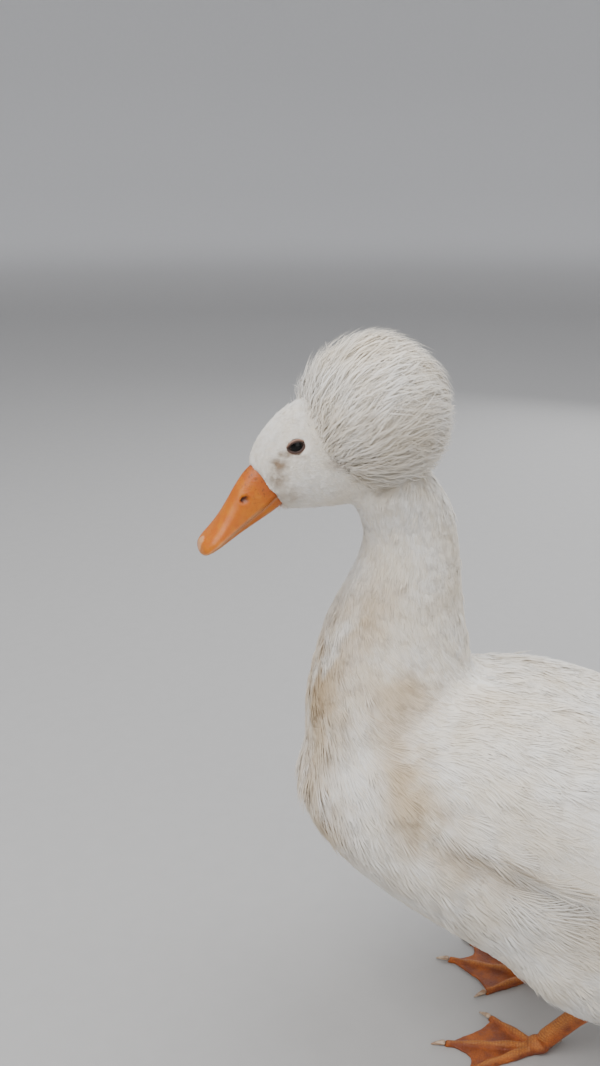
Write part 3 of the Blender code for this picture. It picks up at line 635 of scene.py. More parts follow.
class Shader:
    """Builds a node material step by step."""

    def __init__(self, name: str) -> None:
        """Start a material with a Principled shader.

        Args:
            name: Name of the material.
        """
        self.material = bpy.data.materials.new(name)
        self.material.use_nodes = True
        self.tree = self.material.node_tree
        self.surface = self.tree.nodes["Principled BSDF"]
        self.place = self.tree.nodes.new("ShaderNodeTexCoord").outputs["Object"]

    def node(self, kind: str, settings: dict | None = None, **inputs: object) -> Node:
        """Add a node, named without its ShaderNode prefix, as add_node does."""
        return add_node(self.tree, "ShaderNode" + kind, settings, inputs)

    def attribute(self, name: str) -> Socket:
        """Number that an attribute of the mesh holds."""
        return self.node("Attribute", {"attribute_name": name}).outputs["Fac"]

    def math(self, operation: str, *values: Socket | float) -> Socket:
        """Output of a Math node over numbers or links."""
        inputs = {f"in_{i}": v for i, v in enumerate(values)}
        return self.node("Math", {"operation": operation, "use_clamp": False}, **inputs).outputs[0]

    def times(self, first: Socket, second: Socket | float) -> Socket:
        """Product of two values."""
        return self.math("MULTIPLY", first, second)

    def noise(self, scale: float, detail: float = 3.0, stretch: tuple = (1.0, 1.0, 1.0),
              vector: Socket | None = None) -> Socket:
        """Output of a Noise texture, stretched along the axes."""
        mapped = self.node("Mapping", None, Vector=vector or self.place, Scale=stretch).outputs[0]
        return self.node("TexNoise", None, Vector=mapped, Scale=scale, Detail=detail).outputs["Fac"]

    def ramp(self, value: Socket, low: float, high: float, start: float = 0.0, end: float = 1.0) -> Socket:
        """Value mapped smoothly from the range low to high onto the range start to end."""
        inputs = {"in_0": value, "in_1": low, "in_2": high, "in_3": start, "in_4": end}
        return self.node("MapRange", {"interpolation_type": "SMOOTHSTEP"}, **inputs).outputs[0]

    def near(self, middle: tuple, size: tuple, inner: float) -> Socket:
        """Soft mask of an ellipsoid.

        Args:
            middle: Its middle.
            size: Its half sizes.
            inner: Share of them where the mask is one.

        Returns:
            The mask, zero outside.
        """
        scale = tuple(1.0 / s for s in size)
        location = tuple(-m / s for m, s in zip(middle, size))
        moved = self.node("Mapping", None, Vector=self.place, Location=location, Scale=scale).outputs[0]
        length = self.node("VectorMath", {"operation": "LENGTH"}, in_0=moved).outputs["Value"]
        return self.ramp(length, inner, 1.0, 1.0, 0.0)

    def mix(self, factor: Socket, first: Socket | tuple, second: Socket | tuple) -> Socket:
        """Output of a colour mix."""
        return self.node("Mix", {"data_type": "RGBA"}, in_0=factor, in_6=first, in_7=second).outputs[2]

    def bump(self, height: Socket, strength: float, distance: float, normal: Socket | None = None) -> Socket:
        """Normal of a Bump node, over another one if it is given.

        Args:
            height: Link of the height.
            strength: From 0 to 1.
            distance: Depth in metres.
            normal: Bump below it, if any.

        Returns:
            Link of the normal.
        """
        inputs = {"Height": height, "Strength": strength, "Distance": distance}
        if normal is not None:
            inputs["Normal"] = normal
        return self.node("Bump", None, **inputs).outputs[0]

    def finish(self, colour: Socket, roughness: Socket | float, normal: Socket | None = None,
               **fixed: float | tuple) -> Material:
        """Link the shader.

        Args:
            colour: Link of the base colour.
            roughness: Link or number.
            normal: Link of a bump, if any.
            **fixed: Other inputs, the same all over.

        Returns:
            The material.
        """
        for name, value in {"Base Color": colour, "Roughness": roughness, "Normal": normal}.items():
            if isinstance(value, Socket):
                self.tree.links.new(value, self.surface.inputs[name])
            elif value is not None:
                self.surface.inputs[name].default_value = value
        for name, value in fixed.items():
            self.surface.inputs[name.replace("_", " ")].default_value = value
        return self.material


@dataclass(frozen=True)
class Plumage:
    """White plumage with faint yellow-brown stains, partly painted shade along the wings' front edges, the
    same on skin, tufts, vanes and locks.
    """

    white: tuple = (0.90, 0.875, 0.83, 1.0)
    cream: tuple = (0.84, 0.745, 0.59, 1.0)
    # Colour of the stains, and of the painted shade along the wings' front edges
    stain: tuple = (0.55, 0.40, 0.225, 1.0)
    grey: tuple = (0.79, 0.77, 0.745, 1.0)
    dirt: tuple = (0.31, 0.21, 0.13, 1.0)
    shaft: tuple = (0.86, 0.80, 0.69, 1.0)
    barb_pitch: float = 7.5
    grain: tuple = (1.0, 0.4, 0.4)
    stain_core: float = 0.1
    mark_core: float = 0.3
    both_sides_past: float = 0.07
    # Middle with y from the front of the layout, half sizes and strength of each patch: yellow-brown stains,
    # partly painted shade along the wings' front edges
    stains: tuple = (
        ((0.030, 0.010, 0.245), (0.060, 0.050, 0.090), 0.90),
        ((0.044, 0.040, 0.300), (0.034, 0.044, 0.045), 0.90),
        # These five lie along the wing's front edge: partly yellow-brown stain, partly painted shade of its
        # fold; the last three are on both sides
        ((0.050, 0.070, 0.250), (0.040, 0.040, 0.026), 0.70),
        ((0.068, 0.066, 0.230), (0.036, 0.030, 0.030), 0.75),
        ((0.080, 0.072, 0.210), (0.034, 0.030, 0.034), 0.75),
        ((0.088, 0.085, 0.185), (0.030, 0.036, 0.034), 0.65),
        ((0.092, 0.120, 0.165), (0.030, 0.050, 0.026), 0.55),
        # These three lie low on the breast, under the belly and on the rear flanks
        ((0.045, 0.010, 0.155), (0.065, 0.060, 0.060), 0.65),
        ((0.000, 0.060, 0.090), (0.090, 0.110, 0.045), 0.60),
        ((0.085, 0.220, 0.150), (0.030, 0.070, 0.040), 0.50),
    )
    # Middle forward, left and up from the eyes, half sizes along x, y and z, in millimetres, and strength
    face_marks: tuple = (
        ((5.0, 13.0, -4.6), (13.0, 6.5, 3.2), 1.0),
        ((10.5, 13.0, -9.0), (12.0, 8.0, 5.5), 0.95),
        ((13.0, 12.0, -17.0), (12.0, 9.0, 9.0), 0.75),
        ((9.0, 12.0, -28.0), (13.0, 13.0, 9.0), 0.5),
        ((-3.0, 15.0, -8.6), (10.0, 7.5, 2.8), 0.7),
        ((-21.0, 20.0, -19.0), (13.0, 15.0, 8.0), 0.45),
    )

    def markings(self, shader: Shader) -> Socket:
        """Colour of the plumage over the whole duck.

        Args:
            shader: Where its nodes are built.

        Returns:
            Link of the colour.
        """
        broad = shader.noise(22.0, 4.0)
        fine = shader.noise(170.0, 3.0, self.grain)
        colour = shader.mix(shader.ramp(broad, 0.36, 0.72, 0.0, 0.75), self.white, self.cream)
        colour = shader.mix(shader.ramp(fine, 0.5, 0.85, 0.0, 0.3), colour, self.grey)
        colour = shader.mix(shader.ramp(shader.attribute("tone"), 0.35, 1.0, 0.0, 0.45), colour, self.cream)
        blotch = shader.ramp(shader.noise(95.0, 5.0, self.grain), 0.24, 0.56)
        # Yellow-brown patches of stain; those along the wings' front edges are partly painted shade
        for (x, y, z), size, strength in self.stains:
            ends = (1, -1) if x > self.both_sides_past else (1,)
            masks = [shader.near((end * x, y + Layout.SHIFT, z), size, self.stain_core) for end in ends]
            mask = shader.math("MAXIMUM", *masks) if len(masks) > 1 else masks[0]
            colour = shader.mix(shader.times(shader.times(mask, blotch), strength), colour, self.stain)
        specks = shader.ramp(shader.noise(330.0, 5.0, (1.0, 0.6, 0.8)), 0.32, 0.62, 0.35, 1.0)
        for (forward, left, up), size, strength in self.face_marks:
            places = [Layout.head_point(forward, side.value * left, up) for side in Side]
            masks = [shader.near(tuple(p), tuple(v * MM for v in size), self.mark_core) for p in places]
            mask = shader.times(shader.math("MAXIMUM", *masks), specks)
            colour = shader.mix(shader.times(mask, strength), colour, self.dirt)
        return colour

    def on_feathers(self) -> Material:
        """Material of tufts and locks.

        Returns:
            The material.
        """
        shader = Shader("plumage_feathers")
        normal = shader.bump(shader.noise(700.0, 2.0), 0.1, 0.0003)
        fixed = {"Sheen_Weight": 0.2, "Sheen_Roughness": 0.6, "Specular_IOR_Level": 0.2}
        return shader.finish(self.markings(shader), 0.82, normal, **fixed)

    def on_vanes(self) -> Material:
        """Material of vanes, with fine barb lines and a horn-coloured shaft.

        Returns:
            The material.
        """
        shader = Shader("plumage_vanes")
        barb, across = shader.attribute("barb"), shader.attribute("across")
        apart = shader.times(shader.attribute("tone"), 60.0)
        spread = shader.node(
            "CombineXYZ", None, X=shader.times(barb, 0.9), Y=apart, Z=shader.times(across, 0.5)
        ).outputs[0]
        strands = shader.noise(1.0, 4.0, (1.0, 1.0, 1.0), spread)
        phase = shader.math("MULTIPLY_ADD", strands, 6.0, shader.times(barb, self.barb_pitch))
        lines = shader.math("MULTIPLY_ADD", shader.math("SINE", phase), 0.5, 0.5)
        middle = shader.ramp(shader.math("ABSOLUTE", across), 0.02, 0.10, 1.0, 0.0)
        colour = shader.mix(shader.times(lines, 0.22), self.markings(shader), self.grey)
        colour = shader.mix(shader.ramp(strands, 0.48, 0.72, 0.0, 0.5), colour, self.cream)
        colour = shader.mix(shader.times(middle, 0.35), colour, self.shaft)
        normal = shader.bump(lines, 0.4, 0.0002)
        normal = shader.bump(strands, 0.6, 0.0010, normal)
        normal = shader.bump(middle, 0.5, 0.0005, normal)
        return shader.finish(colour, 0.72, normal, Sheen_Weight=0.15, Specular_IOR_Level=0.25)

    def on_skin(self) -> Material:
        """Material of the skin and the down under the tufts.

        Returns:
            The material.
        """
        shader = Shader("plumage_down")
        normal = shader.bump(shader.noise(420.0, 4.0, self.grain), 0.4, 0.0006)
        return shader.finish(self.markings(shader), 0.9, normal, Specular_IOR_Level=0.15)


@dataclass(frozen=True)
class BillHorn:
    """Orange horn of the bill, yellower at the tip, redder and flecked at the root, with a pale nail and
    painted shade in the nostrils.
    """

    orange: tuple = (0.54, 0.125, 0.003, 1.0)
    yellow: tuple = (0.62, 0.19, 0.006, 1.0)
    red: tuple = (0.40, 0.08, 0.012, 1.0)
    pale: tuple = (0.74, 0.50, 0.30, 1.0)
    brown: tuple = (0.16, 0.05, 0.015, 1.0)
    # Near-black painted shade inside the nostrils' hollows
    pit: tuple = (0.10, 0.025, 0.012, 1.0)

    def material(self) -> Material:
        """The bill's material, which reads the piece's own attributes.

        Returns:
            The material.
        """
        shader = Shader("bill_horn")
        along = shader.attribute("along")
        mottle = shader.ramp(shader.noise(190.0, 4.0), 0.35, 0.7, 0.0, 0.7)
        colour = shader.mix(mottle, self.orange, self.yellow)
        colour = shader.mix(shader.ramp(along, 0.75, 1.0, 0.0, 0.35), colour, self.yellow)
        colour = shader.mix(shader.ramp(along, 0.16, 0.0, 0.0, 0.55), colour, self.red)
        colour = shader.mix(shader.times(shader.attribute("edge"), 0.55), colour, self.pale)
        colour = shader.mix(shader.times(shader.attribute("nail"), 0.5), colour, self.pale)
        root = shader.ramp(along, 0.42, 0.02)
        flecks = shader.times(shader.ramp(shader.noise(520.0, 5.0), 0.56, 0.68), root)
        colour = shader.mix(shader.times(flecks, 0.6), colour, self.brown)
        # Painted shade in the nostrils' hollows
        colour = shader.mix(shader.attribute("pit"), colour, self.pit)
        fine = shader.noise(1100.0, 3.0)
        creases = shader.times(shader.noise(900.0, 3.0, (0.35, 0.35, 1.0)), root)
        normal = shader.bump(fine, 0.12, 0.0003)
        normal = shader.bump(shader.noise(240.0, 3.0), 0.25, 0.0006, normal)
        normal = shader.bump(creases, 0.5, 0.0006, normal)
        return shader.finish(
            colour, shader.ramp(fine, 0.3, 0.7, 0.32, 0.5), normal, Specular_IOR_Level=0.4, Coat_Weight=0.06,
            Coat_Roughness=0.4, Subsurface_Weight=0.12, Subsurface_Radius=(0.004, 0.0012, 0.0004),
        )


@dataclass(frozen=True)
class LegSkin:
    """Orange scaled skin of the legs and feet, with darker webs; its colours are darkened as painted shade
    from the body above.
    """

    # All three colours are darker than the skin's own orange, partly as painted shade under the body
    orange: tuple = (0.50, 0.13, 0.02, 1.0)
    light: tuple = (0.66, 0.27, 0.06, 1.0)
    dark: tuple = (0.22, 0.05, 0.015, 1.0)
    scales: float = 640.0

    def material(self) -> Material:
        """The legs' material, scaled, with lighter ridges and darker hollows.

        Returns:
            The material.
        """
        shader = Shader("leg_skin")
        feature = {"feature": "DISTANCE_TO_EDGE"}
        cells = shader.node("TexVoronoi", feature, Vector=shader.place, Scale=self.scales)
        seams = shader.ramp(cells.outputs["Distance"], 0.0, 0.16)
        blotch = shader.noise(95.0, 4.0)
        colour = shader.mix(shader.ramp(blotch, 0.35, 0.7), self.dark, self.orange)
        colour = shader.mix(shader.times(shader.attribute("ridge"), 0.75), colour, self.light)
        colour = shader.mix(shader.ramp(seams, 0.0, 1.0, 0.5, 0.0), colour, self.dark)
        rough = shader.ramp(blotch, 0.3, 0.7, 0.42, 0.62)
        normal = shader.bump(seams, 0.6, 0.0004)
        return shader.finish(colour, rough, normal, Subsurface_Weight=0.05, Specular_IOR_Level=0.45)


@dataclass(frozen=True)
class EyeGlass:
    """Dark brown eye with a black pupil and a wet gloss."""

    iris: tuple = (0.022, 0.012, 0.008, 1.0)
    spokes: tuple = (0.045, 0.025, 0.014, 1.0)
    pupil: tuple = (0.002, 0.002, 0.002, 1.0)

    def material(self) -> Material:
        """The eyes' material, which reads how far a place is from the pupil's middle.

        Returns:
            The material.
        """
        shader = Shader("eye_glass")
        away = shader.attribute("away")
        iris = shader.mix(shader.ramp(shader.noise(900.0, 2.0), 0.4, 0.7, 0.0, 0.6), self.iris, self.spokes)
        colour = shader.mix(shader.ramp(away, 0.36, 0.46), self.pupil, iris)
        colour = shader.mix(shader.ramp(away, 0.72, 0.84), colour, self.pupil)
        return shader.finish(colour, 0.05, None, Specular_IOR_Level=0.4, IOR=1.38)


@dataclass(frozen=True)
class LidSkin:
    """Bare rim of the eyelids."""

    rim: tuple = (0.06, 0.03, 0.022, 1.0)
    pale: tuple = (0.34, 0.20, 0.14, 1.0)

    def material(self) -> Material:
        """The lids' material, darker at the eye.

        Returns:
            The material.
        """
        shader = Shader("lid_skin")
        colour = shader.mix(shader.ramp(shader.attribute("outer"), 0.25, 0.9), self.rim, self.pale)
        return shader.finish(colour, 0.5, shader.bump(shader.noise(1500.0, 2.0), 0.4, 0.0003))


@dataclass(frozen=True)
class ClawHorn:
    """Pale horn of the claws, darker in streaks."""

    pale: tuple = (0.60, 0.47, 0.34, 1.0)
    dark: tuple = (0.30, 0.17, 0.10, 1.0)

    def material(self) -> Material:
        """The claws' material, with fine lines along them.

        Returns:
            The material.
        """
        shader = Shader("claw_horn")
        lines = shader.noise(420.0, 3.0, (1.0, 0.25, 1.0))
        colour = shader.mix(shader.ramp(lines, 0.35, 0.7), self.dark, self.pale)
        return shader.finish(colour, 0.38, shader.bump(lines, 0.3, 0.0003))


@dataclass
class Skin:
    """One skin over torso, neck, head, thighs and the mass of wings and tail."""

    material: Material
    voxel: float = 0.0021
    inflate: float = 0.0007
    flesh: tuple = ("torso", "neck", "head", "thigh_left", "thigh_right")
    wing_spans: tuple = ((0.0, 150.0), (110.0, 205.0), (165.0, 250.0))
    tail_mass: float = 0.062
    depth_body: float = 0.0022
    depth_neck: float = 0.0018
    depth_head: float = 0.0010
    even_rounds: int = 14
    body_rounds: int = 26
    belly_rounds: int = 110

    def hull_of(self, points: Array) -> Shape:
        """Convex hull of points.

        Args:
            points: The points.

        Returns:
            Its BMesh.
        """
        shaped = bmesh.new()
        for p in points:
            shaped.verts.new(p)
        made = bmesh.ops.convex_hull(shaped, input=shaped.verts)
        inside = set(made["geom_interior"] + made["geom_unused"])
        unused = [v for v in inside if isinstance(v, bmesh.types.BMVert)]
        bmesh.ops.delete(shaped, geom=unused, context="VERTS")
        return shaped

    def masses(self) -> list:
        """Hulls of the front of each wing and of the tail's root.

        Returns:
            Their BMeshes.
        """
        hulls = []
        for side in Side:
            points = vertex_array(frame["nodes"]["wing_" + side.word].data)
            along, _ = Layout.torso_coordinates(points)
            for low, high in self.wing_spans:
                hulls.append(self.hull_of(points[(along >= low) & (along <= high)]))
        points = vertex_array(frame["nodes"]["tail"].data)
        return hulls + [self.hull_of(points[points[:, 1] < Layout.TAIL_ROOT[1] + self.tail_mass])]

    def headness(self, points: Array, low: float, high: float) -> Array:
        """Share of the head at places, from low to high millimetres forward of the eyes."""
        forward = Layout.head_coordinates(points)[:, 0]
        return smoothstep(low, high, forward) * smoothstep(0.34, 0.37, points[:, 2])

    def belly(self, points: Array) -> Array:
        """Where belly and thighs are smoothed, but not round the tops of the shanks.

        Args:
            points: Places of the skin.

        Returns:
            A weight for each.
        """
        away = np.full(len(points), 1.0)
        for side in Side:
            shank = np.array(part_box("shank_" + side.word)).mean(axis=0)
            top = np.array([shank[0] + side.value * 0.004, shank[1] + 0.016, 0.046])
            away = np.minimum(away, np.linalg.norm(points - top, axis=1))
        return smoothstep(0.150, 0.105, points[:, 2]) * smoothstep(0.012, 0.034, away)

    def keep_outer(self, made: Object) -> None:
        """Keep only the largest of the mesh's surfaces.

        Args:
            made: The skin.
        """
        with shaping(made.data) as shaped:
            left = set(shaped.verts)
            best = []
            while left:
                group = []
                edge = [left.pop()]
                while edge:
                    v = edge.pop()
                    group.append(v)
                    others = {e.other_vert(v) for e in v.link_edges} & left
                    left -= others
                    edge.extend(others)
                best = max(best, group, key=len)
            keep = set(best)
            bmesh.ops.delete(shaped, geom=[v for v in shaped.verts if v not in keep], context="VERTS")

    def sink(self, made: Object) -> None:
        """Move the skin in by the depth of the coat, and dent it behind the eyes.

        Args:
            made: The skin.
        """
        points = vertex_array(made.data)
        head = self.headness(points, -60.0, -25.0)
        neck = smoothstep(0.24, 0.30, points[:, 2])
        depth = self.depth_body * (1 - neck) + self.depth_neck * neck
        depth = depth * (1 - head) + self.depth_head * head
        points = points - vertex_normals(made.data) * depth[:, None]
        for side in Side:
            points = Eyes().hollow(points, side)
        set_vertices(made.data, points)

    def build(self) -> Object:
        """Make the skin.

        Returns:
            The skin's object.
        """
        shapes = [merged_node(n, self.inflate) for n in self.flesh] + self.masses()
        made = voxel_skin("skin", shapes, self.voxel)
        self.keep_outer(made)
        head = self.headness(vertex_array(made.data), -62.0, -30.0)
        relax(made.data, self.even_rounds, 1.0 - 0.6 * head)
        relax(made.data, self.body_rounds, 1.0 - 0.97 * head)
        relax(made.data, self.belly_rounds, self.belly(vertex_array(made.data)))
        self.sink(made)
        dress(made, self.material)
        made.data.shade_smooth()
        return made


class Lie:
    """Which way the feathers lie, how long they are and how dense, anywhere on the skin."""

    NECK_DOWN = np.array([0.0, 0.10, -1.0])
    BODY_BACK = np.array([0.0, 1.0, -0.62])
    BACK_BACK = np.array([0.0, 1.0, -0.34])
    THIGH_DOWN = np.array([0.0, 0.45, -1.0])
    TAIL_BACK = np.array([0.0, 1.0, 0.05])
    # Least length of the lie along the skin, before it is made a unit, at which a tuft grows
    LEAST = 0.22
    TUFTS_PER_LENGTH_SQUARED = 16.0
    # Lengths in metres
    ON_BODY = 0.0195
    SHORTER_ON_BREAST = 0.006
    ON_NECK = 0.0105
    ON_FACE = 0.0058

    @classmethod
    def direction(cls, points: Array, normals: Array) -> tuple:
        """Unit directions of the lie along the skin.

        Args:
            points: Roots.
            normals: Normals of the skin there.

        Returns:
            Directions, and how well the skin lets them lie.
        """
        head = Layout.head_coordinates(points)
        x, y, z = points.T
        face = smoothstep(-46.0, -22.0, head[:, 0]) * smoothstep(0.345, 0.37, z)
        sag = np.outer(smoothstep(0.0, -30.0, head[:, 2]), 0.45 * Layout.UP)
        cheek = -Layout.SKULL - 0.35 * Layout.UP - sag
        neck = smoothstep(0.225, 0.315, z)
        along, degrees = Layout.torso_coordinates(points)
        over = smoothstep(-10.0, 45.0, degrees)[:, None]
        body = cls.BODY_BACK * (1 - over) + cls.BACK_BACK * over
        body = body - np.outer(smoothstep(90.0, 20.0, along), 0.55 * Layout.UP)
        thigh = smoothstep(0.105, 0.075, z) * smoothstep(0.035, 0.055, np.abs(x))
        thigh = thigh * smoothstep(-0.085, -0.05, y) * smoothstep(0.07, 0.04, y)
        tail = smoothstep(290.0, 340.0, along)
        flow = body
        ways = ((thigh, cls.THIGH_DOWN), (tail, cls.TAIL_BACK), (neck, cls.NECK_DOWN), (face, cheek))
        for share, way in ways:
            flow = flow * (1 - share[:, None]) + way * share[:, None]
        flow = along_surface(flow, normals)
        sure = np.linalg.norm(flow, axis=1)
        flow = unit(flow)
        swirl = 0.30 * lattice_noise(points, 0.020, 5) + 0.16 * lattice_noise(points, 0.007, 6)
        across = np.cross(normals, flow)
        return unit(flow + across * swirl[:, None]), sure

    @classmethod
    def length(cls, points: Array) -> Array:
        """Length of the feathers at each root, in metres.

        Args:
            points: Roots.

        Returns:
            A length for each.
        """
        head = Layout.head_coordinates(points)
        y, z = points[:, 1], points[:, 2]
        face = smoothstep(-60.0, -20.0, head[:, 0]) * smoothstep(0.345, 0.37, z)
        bill = smoothstep(2.0, 22.0, head[:, 0]) * face
        body = cls.ON_BODY - cls.SHORTER_ON_BREAST * smoothstep(0.20, 0.29, z)
        neck = smoothstep(0.26, 0.34, z)
        size = body * (1 - neck) + cls.ON_NECK * neck
        size = size * (1 - 0.45 * smoothstep(0.0, 0.03, y - Layout.TAIL_ROOT[1]))
        size = size * (1 - face) + cls.ON_FACE * face
        eye = np.sqrt((head[:, 0] - Eyes.MIDDLE[0]) ** 2 + (head[:, 2] - Eyes.MIDDLE[2]) ** 2)
        small = smoothstep(14.0, 6.0, eye) * face
        return size * (1 - 0.42 * bill) * (1 - 0.58 * small)

    @classmethod
    def density(cls, points: Array) -> Array:
        """Tufts to the square metre at each place."""
        return cls.TUFTS_PER_LENGTH_SQUARED / cls.length(points) ** 2


@dataclass
class TuftShape:
    """A tuft of tapered barbs, one unit long, along +Y with +Z out of the skin."""

    barbs: int = 7
    rings: int = 2
    width: float = 0.050
    spread: float = 0.24
    rise: float = 0.13
    droop: float = 0.17
    foot: float = 0.13
    ring_reach: float = 0.92
    seed: int = 1

    def build(self, name: str) -> Object:
        """Make the tuft.

        Args:
            name: Name of the object.

        Returns:
            The object, in no collection.
        """
        rng = default_rng(self.seed)
        points = []
        faces = []
        rod = rod_faces(self.rings)
        for k in range(self.barbs):
            share = (k + 0.5) / self.barbs * 2 - 1
            angle = self.spread * share + rng.uniform(-0.06, 0.06)
            length = 1.0 - 0.22 * abs(share) + rng.uniform(-0.10, 0.05)
            wide = self.width * rng.uniform(0.8, 1.15)
            lift = rng.uniform(-0.02, 0.03)
            faces += [tuple(len(points) + i for i in face) for face in rod]
            for r in range(self.rings + 1):
                t = r / self.rings * self.ring_reach
                reach = length * t
                x = sin(angle * (0.4 + 0.6 * t)) * reach + share * self.foot
                y = cos(angle) * reach
                z = lift + self.rise * t * (1 - 0.55 * t) - self.droop * t * t * 0.55
                half = wide * (0.75 + 0.5 * t - 0.9 * t ** 3) * 0.5
                if r < self.rings:
                    points += [(x - half, y, z), (x + half, y, z), (x, y, z + half * 0.6)]
            x = sin(angle) * length + share * self.foot
            points.append((x, cos(angle) * length, z - 0.012))
        made = mesh_object(name, np.array(points), faces)
        turn_outwards(made)
        chart = made.data.uv_layers.new(name="tuft")
        for loop in made.data.loops:
            x, y, _ = made.data.vertices[loop.vertex_index].co
            chart.data[loop.index].uv = (0.5 + 0.8 * x, min(max(y, 0.0), 1.0))
        bpy.context.scene.collection.objects.unlink(made)
        return made


class Scatter:
    """Geometry Nodes tree that sets tufts on the points of a mesh, turned to their lie."""

    INPUTS = (
        ("Geometry", "NodeSocketGeometry"),
        ("Tufts", "NodeSocketCollection"),
        ("Material", "NodeSocketMaterial"),
        ("Turn", "NodeSocketFloat"),
        ("Lift", "NodeSocketFloat"),
        ("Uneven", "NodeSocketFloat"),
        ("Seed", "NodeSocketInt"),
    )
    # Highest index that is drawn, wrapped round the shapes of a collection
    MANY = 99

    def __init__(self) -> None:
        """Build the tree."""
        self.tree = bpy.data.node_groups.new("scatter_tufts", "GeometryNodeTree")
        for name, kind in self.INPUTS:
            self.tree.interface.new_socket(name, in_out="INPUT", socket_type=kind)
        self.tree.interface.new_socket("Geometry", in_out="OUTPUT", socket_type="NodeSocketGeometry")
        self.build()

    def add(self, kind: str, settings: dict | None = None, **inputs: object) -> Node:
        """Add a node, as add_node does."""
        return add_node(self.tree, kind, settings, inputs)

    def stored(self, name: str, kind: str) -> Socket:
        """Output of an attribute of the points."""
        return self.add("GeometryNodeInputNamedAttribute", {"data_type": kind}, Name=name).outputs[0]

    def math(self, operation: str, first: Socket | float, second: Socket | float) -> Socket:
        """Output of a Math node."""
        return self.add("ShaderNodeMath", {"operation": operation}, in_0=first, in_1=second).outputs[0]

    def random(self, kind: str, low: Socket | float, high: Socket | float, seed: Socket) -> Socket:
        """Output of a random number for each point, FLOAT or INT.

        Args:
            kind: FLOAT or INT.
            low: Least value.
            high: Largest value.
            seed: Which draw.

        Returns:
            Its link.
        """
        first = {"FLOAT": 2, "INT": 4}[kind]
        ends = {f"in_{first}": low, f"in_{first + 1}": high}
        made = self.add("FunctionNodeRandomValue", {"data_type": kind}, **ends, Seed=seed)
        return made.outputs[first // 2]

    def build(self) -> None:
        """Link the nodes of the tree."""
        start = self.add("NodeGroupInput").outputs
        out = self.stored("out", "FLOAT_VECTOR")
        lie = self.stored("lie", "FLOAT_VECTOR")
        size = self.stored("size", "FLOAT")
        up = self.add("FunctionNodeAlignRotationToVector", {"axis": "Z"}, Vector=out).outputs[0]
        ahead = self.add(
            "FunctionNodeAlignRotationToVector", {"axis": "Y", "pivot_axis": "Z"}, Rotation=up, Vector=lie
        ).outputs[0]
        turn = self.random("FLOAT", self.math("MULTIPLY", start["Turn"], -1.0), start["Turn"], start["Seed"])
        lift = self.random("FLOAT", 0.0, start["Lift"], self.math("ADD", start["Seed"], 11.0))
        euler = self.add("ShaderNodeCombineXYZ", None, X=lift, Y=0.0, Z=turn).outputs[0]
        jitter = self.add("FunctionNodeEulerToRotation", None, in_0=euler).outputs[0]
        turned = self.add("FunctionNodeRotateRotation", {"rotation_space": "LOCAL"}, in_0=ahead, in_1=jitter)
        seed = self.math("ADD", start["Seed"], 23.0)
        low = self.math("SUBTRACT", 1.0, start["Uneven"])
        high = self.math("ADD", 1.0, start["Uneven"])
        scale = self.math("MULTIPLY", size, self.random("FLOAT", low, high, seed))
        inputs = {"Collection": start["Tufts"], "Separate_Children": True, "Reset_Children": True}
        pool = self.add("GeometryNodeCollectionInfo", None, **inputs).outputs[0]
        pick = self.random("INT", 0, self.MANY, seed)
        inputs = {"Points": start["Geometry"], "Instance": pool, "Instance_Index": pick}
        inputs.update(Pick_Instance=True, Rotation=turned.outputs[0], Scale=scale)
        placed = self.add("GeometryNodeInstanceOnPoints", None, **inputs)
        real = self.add("GeometryNodeRealizeInstances", None, Geometry=placed.outputs[0])
        inputs = {"Geometry": real.outputs[0], "Material": start["Material"]}
        dressed = self.add("GeometryNodeSetMaterial", None, **inputs)
        self.add("NodeGroupOutput", None, in_0=dressed.outputs[0])

    def set_on(self, made: Object, **values: object) -> None:
        """Put the tree on an object and set its inputs.

        Args:
            made: Object whose points carry out, lie and size.
            **values: Values of the named inputs.
        """
        change = made.modifiers.new("tufts", "NODES")
        change.node_group = self.tree
        for item in self.tree.interface.items_tree:
            if item.item_type == "SOCKET" and item.in_out == "INPUT" and item.name in values:
                change[item.identifier] = values[item.name]


@dataclass
class Roots:
    """Roots of tufts with their normals, lie and size."""

    points: Array
    normals: Array
    lie: Array
    size: Array

    def only(self, mask: Array) -> "Roots":
        """The roots that a mask picks."""
        return Roots(self.points[mask], self.normals[mask], self.lie[mask], self.size[mask])

    def chart(self) -> Array:
        """Places of the roots on an unwrap of their skin in six sides.

        Returns:
            A line for each root, with u, v and zero.
        """
        low = self.points.min(axis=0)
        share = (self.points - low) / np.maximum(self.points.max(axis=0) - low, 1e-4)
        rows = np.arange(len(share))
        axis = np.argmax(np.abs(self.normals), axis=1)
        sign = self.normals[rows, axis] > 0
        others = np.array([(1, 2), (0, 2), (0, 1)])[axis]
        u = (axis + 0.02 + 0.96 * share[rows, others[:, 0]]) / 3
        v = (sign + 0.02 + 0.96 * share[rows, others[:, 1]]) / 2
        return np.stack([u, v, np.zeros(len(rows))], axis=1)


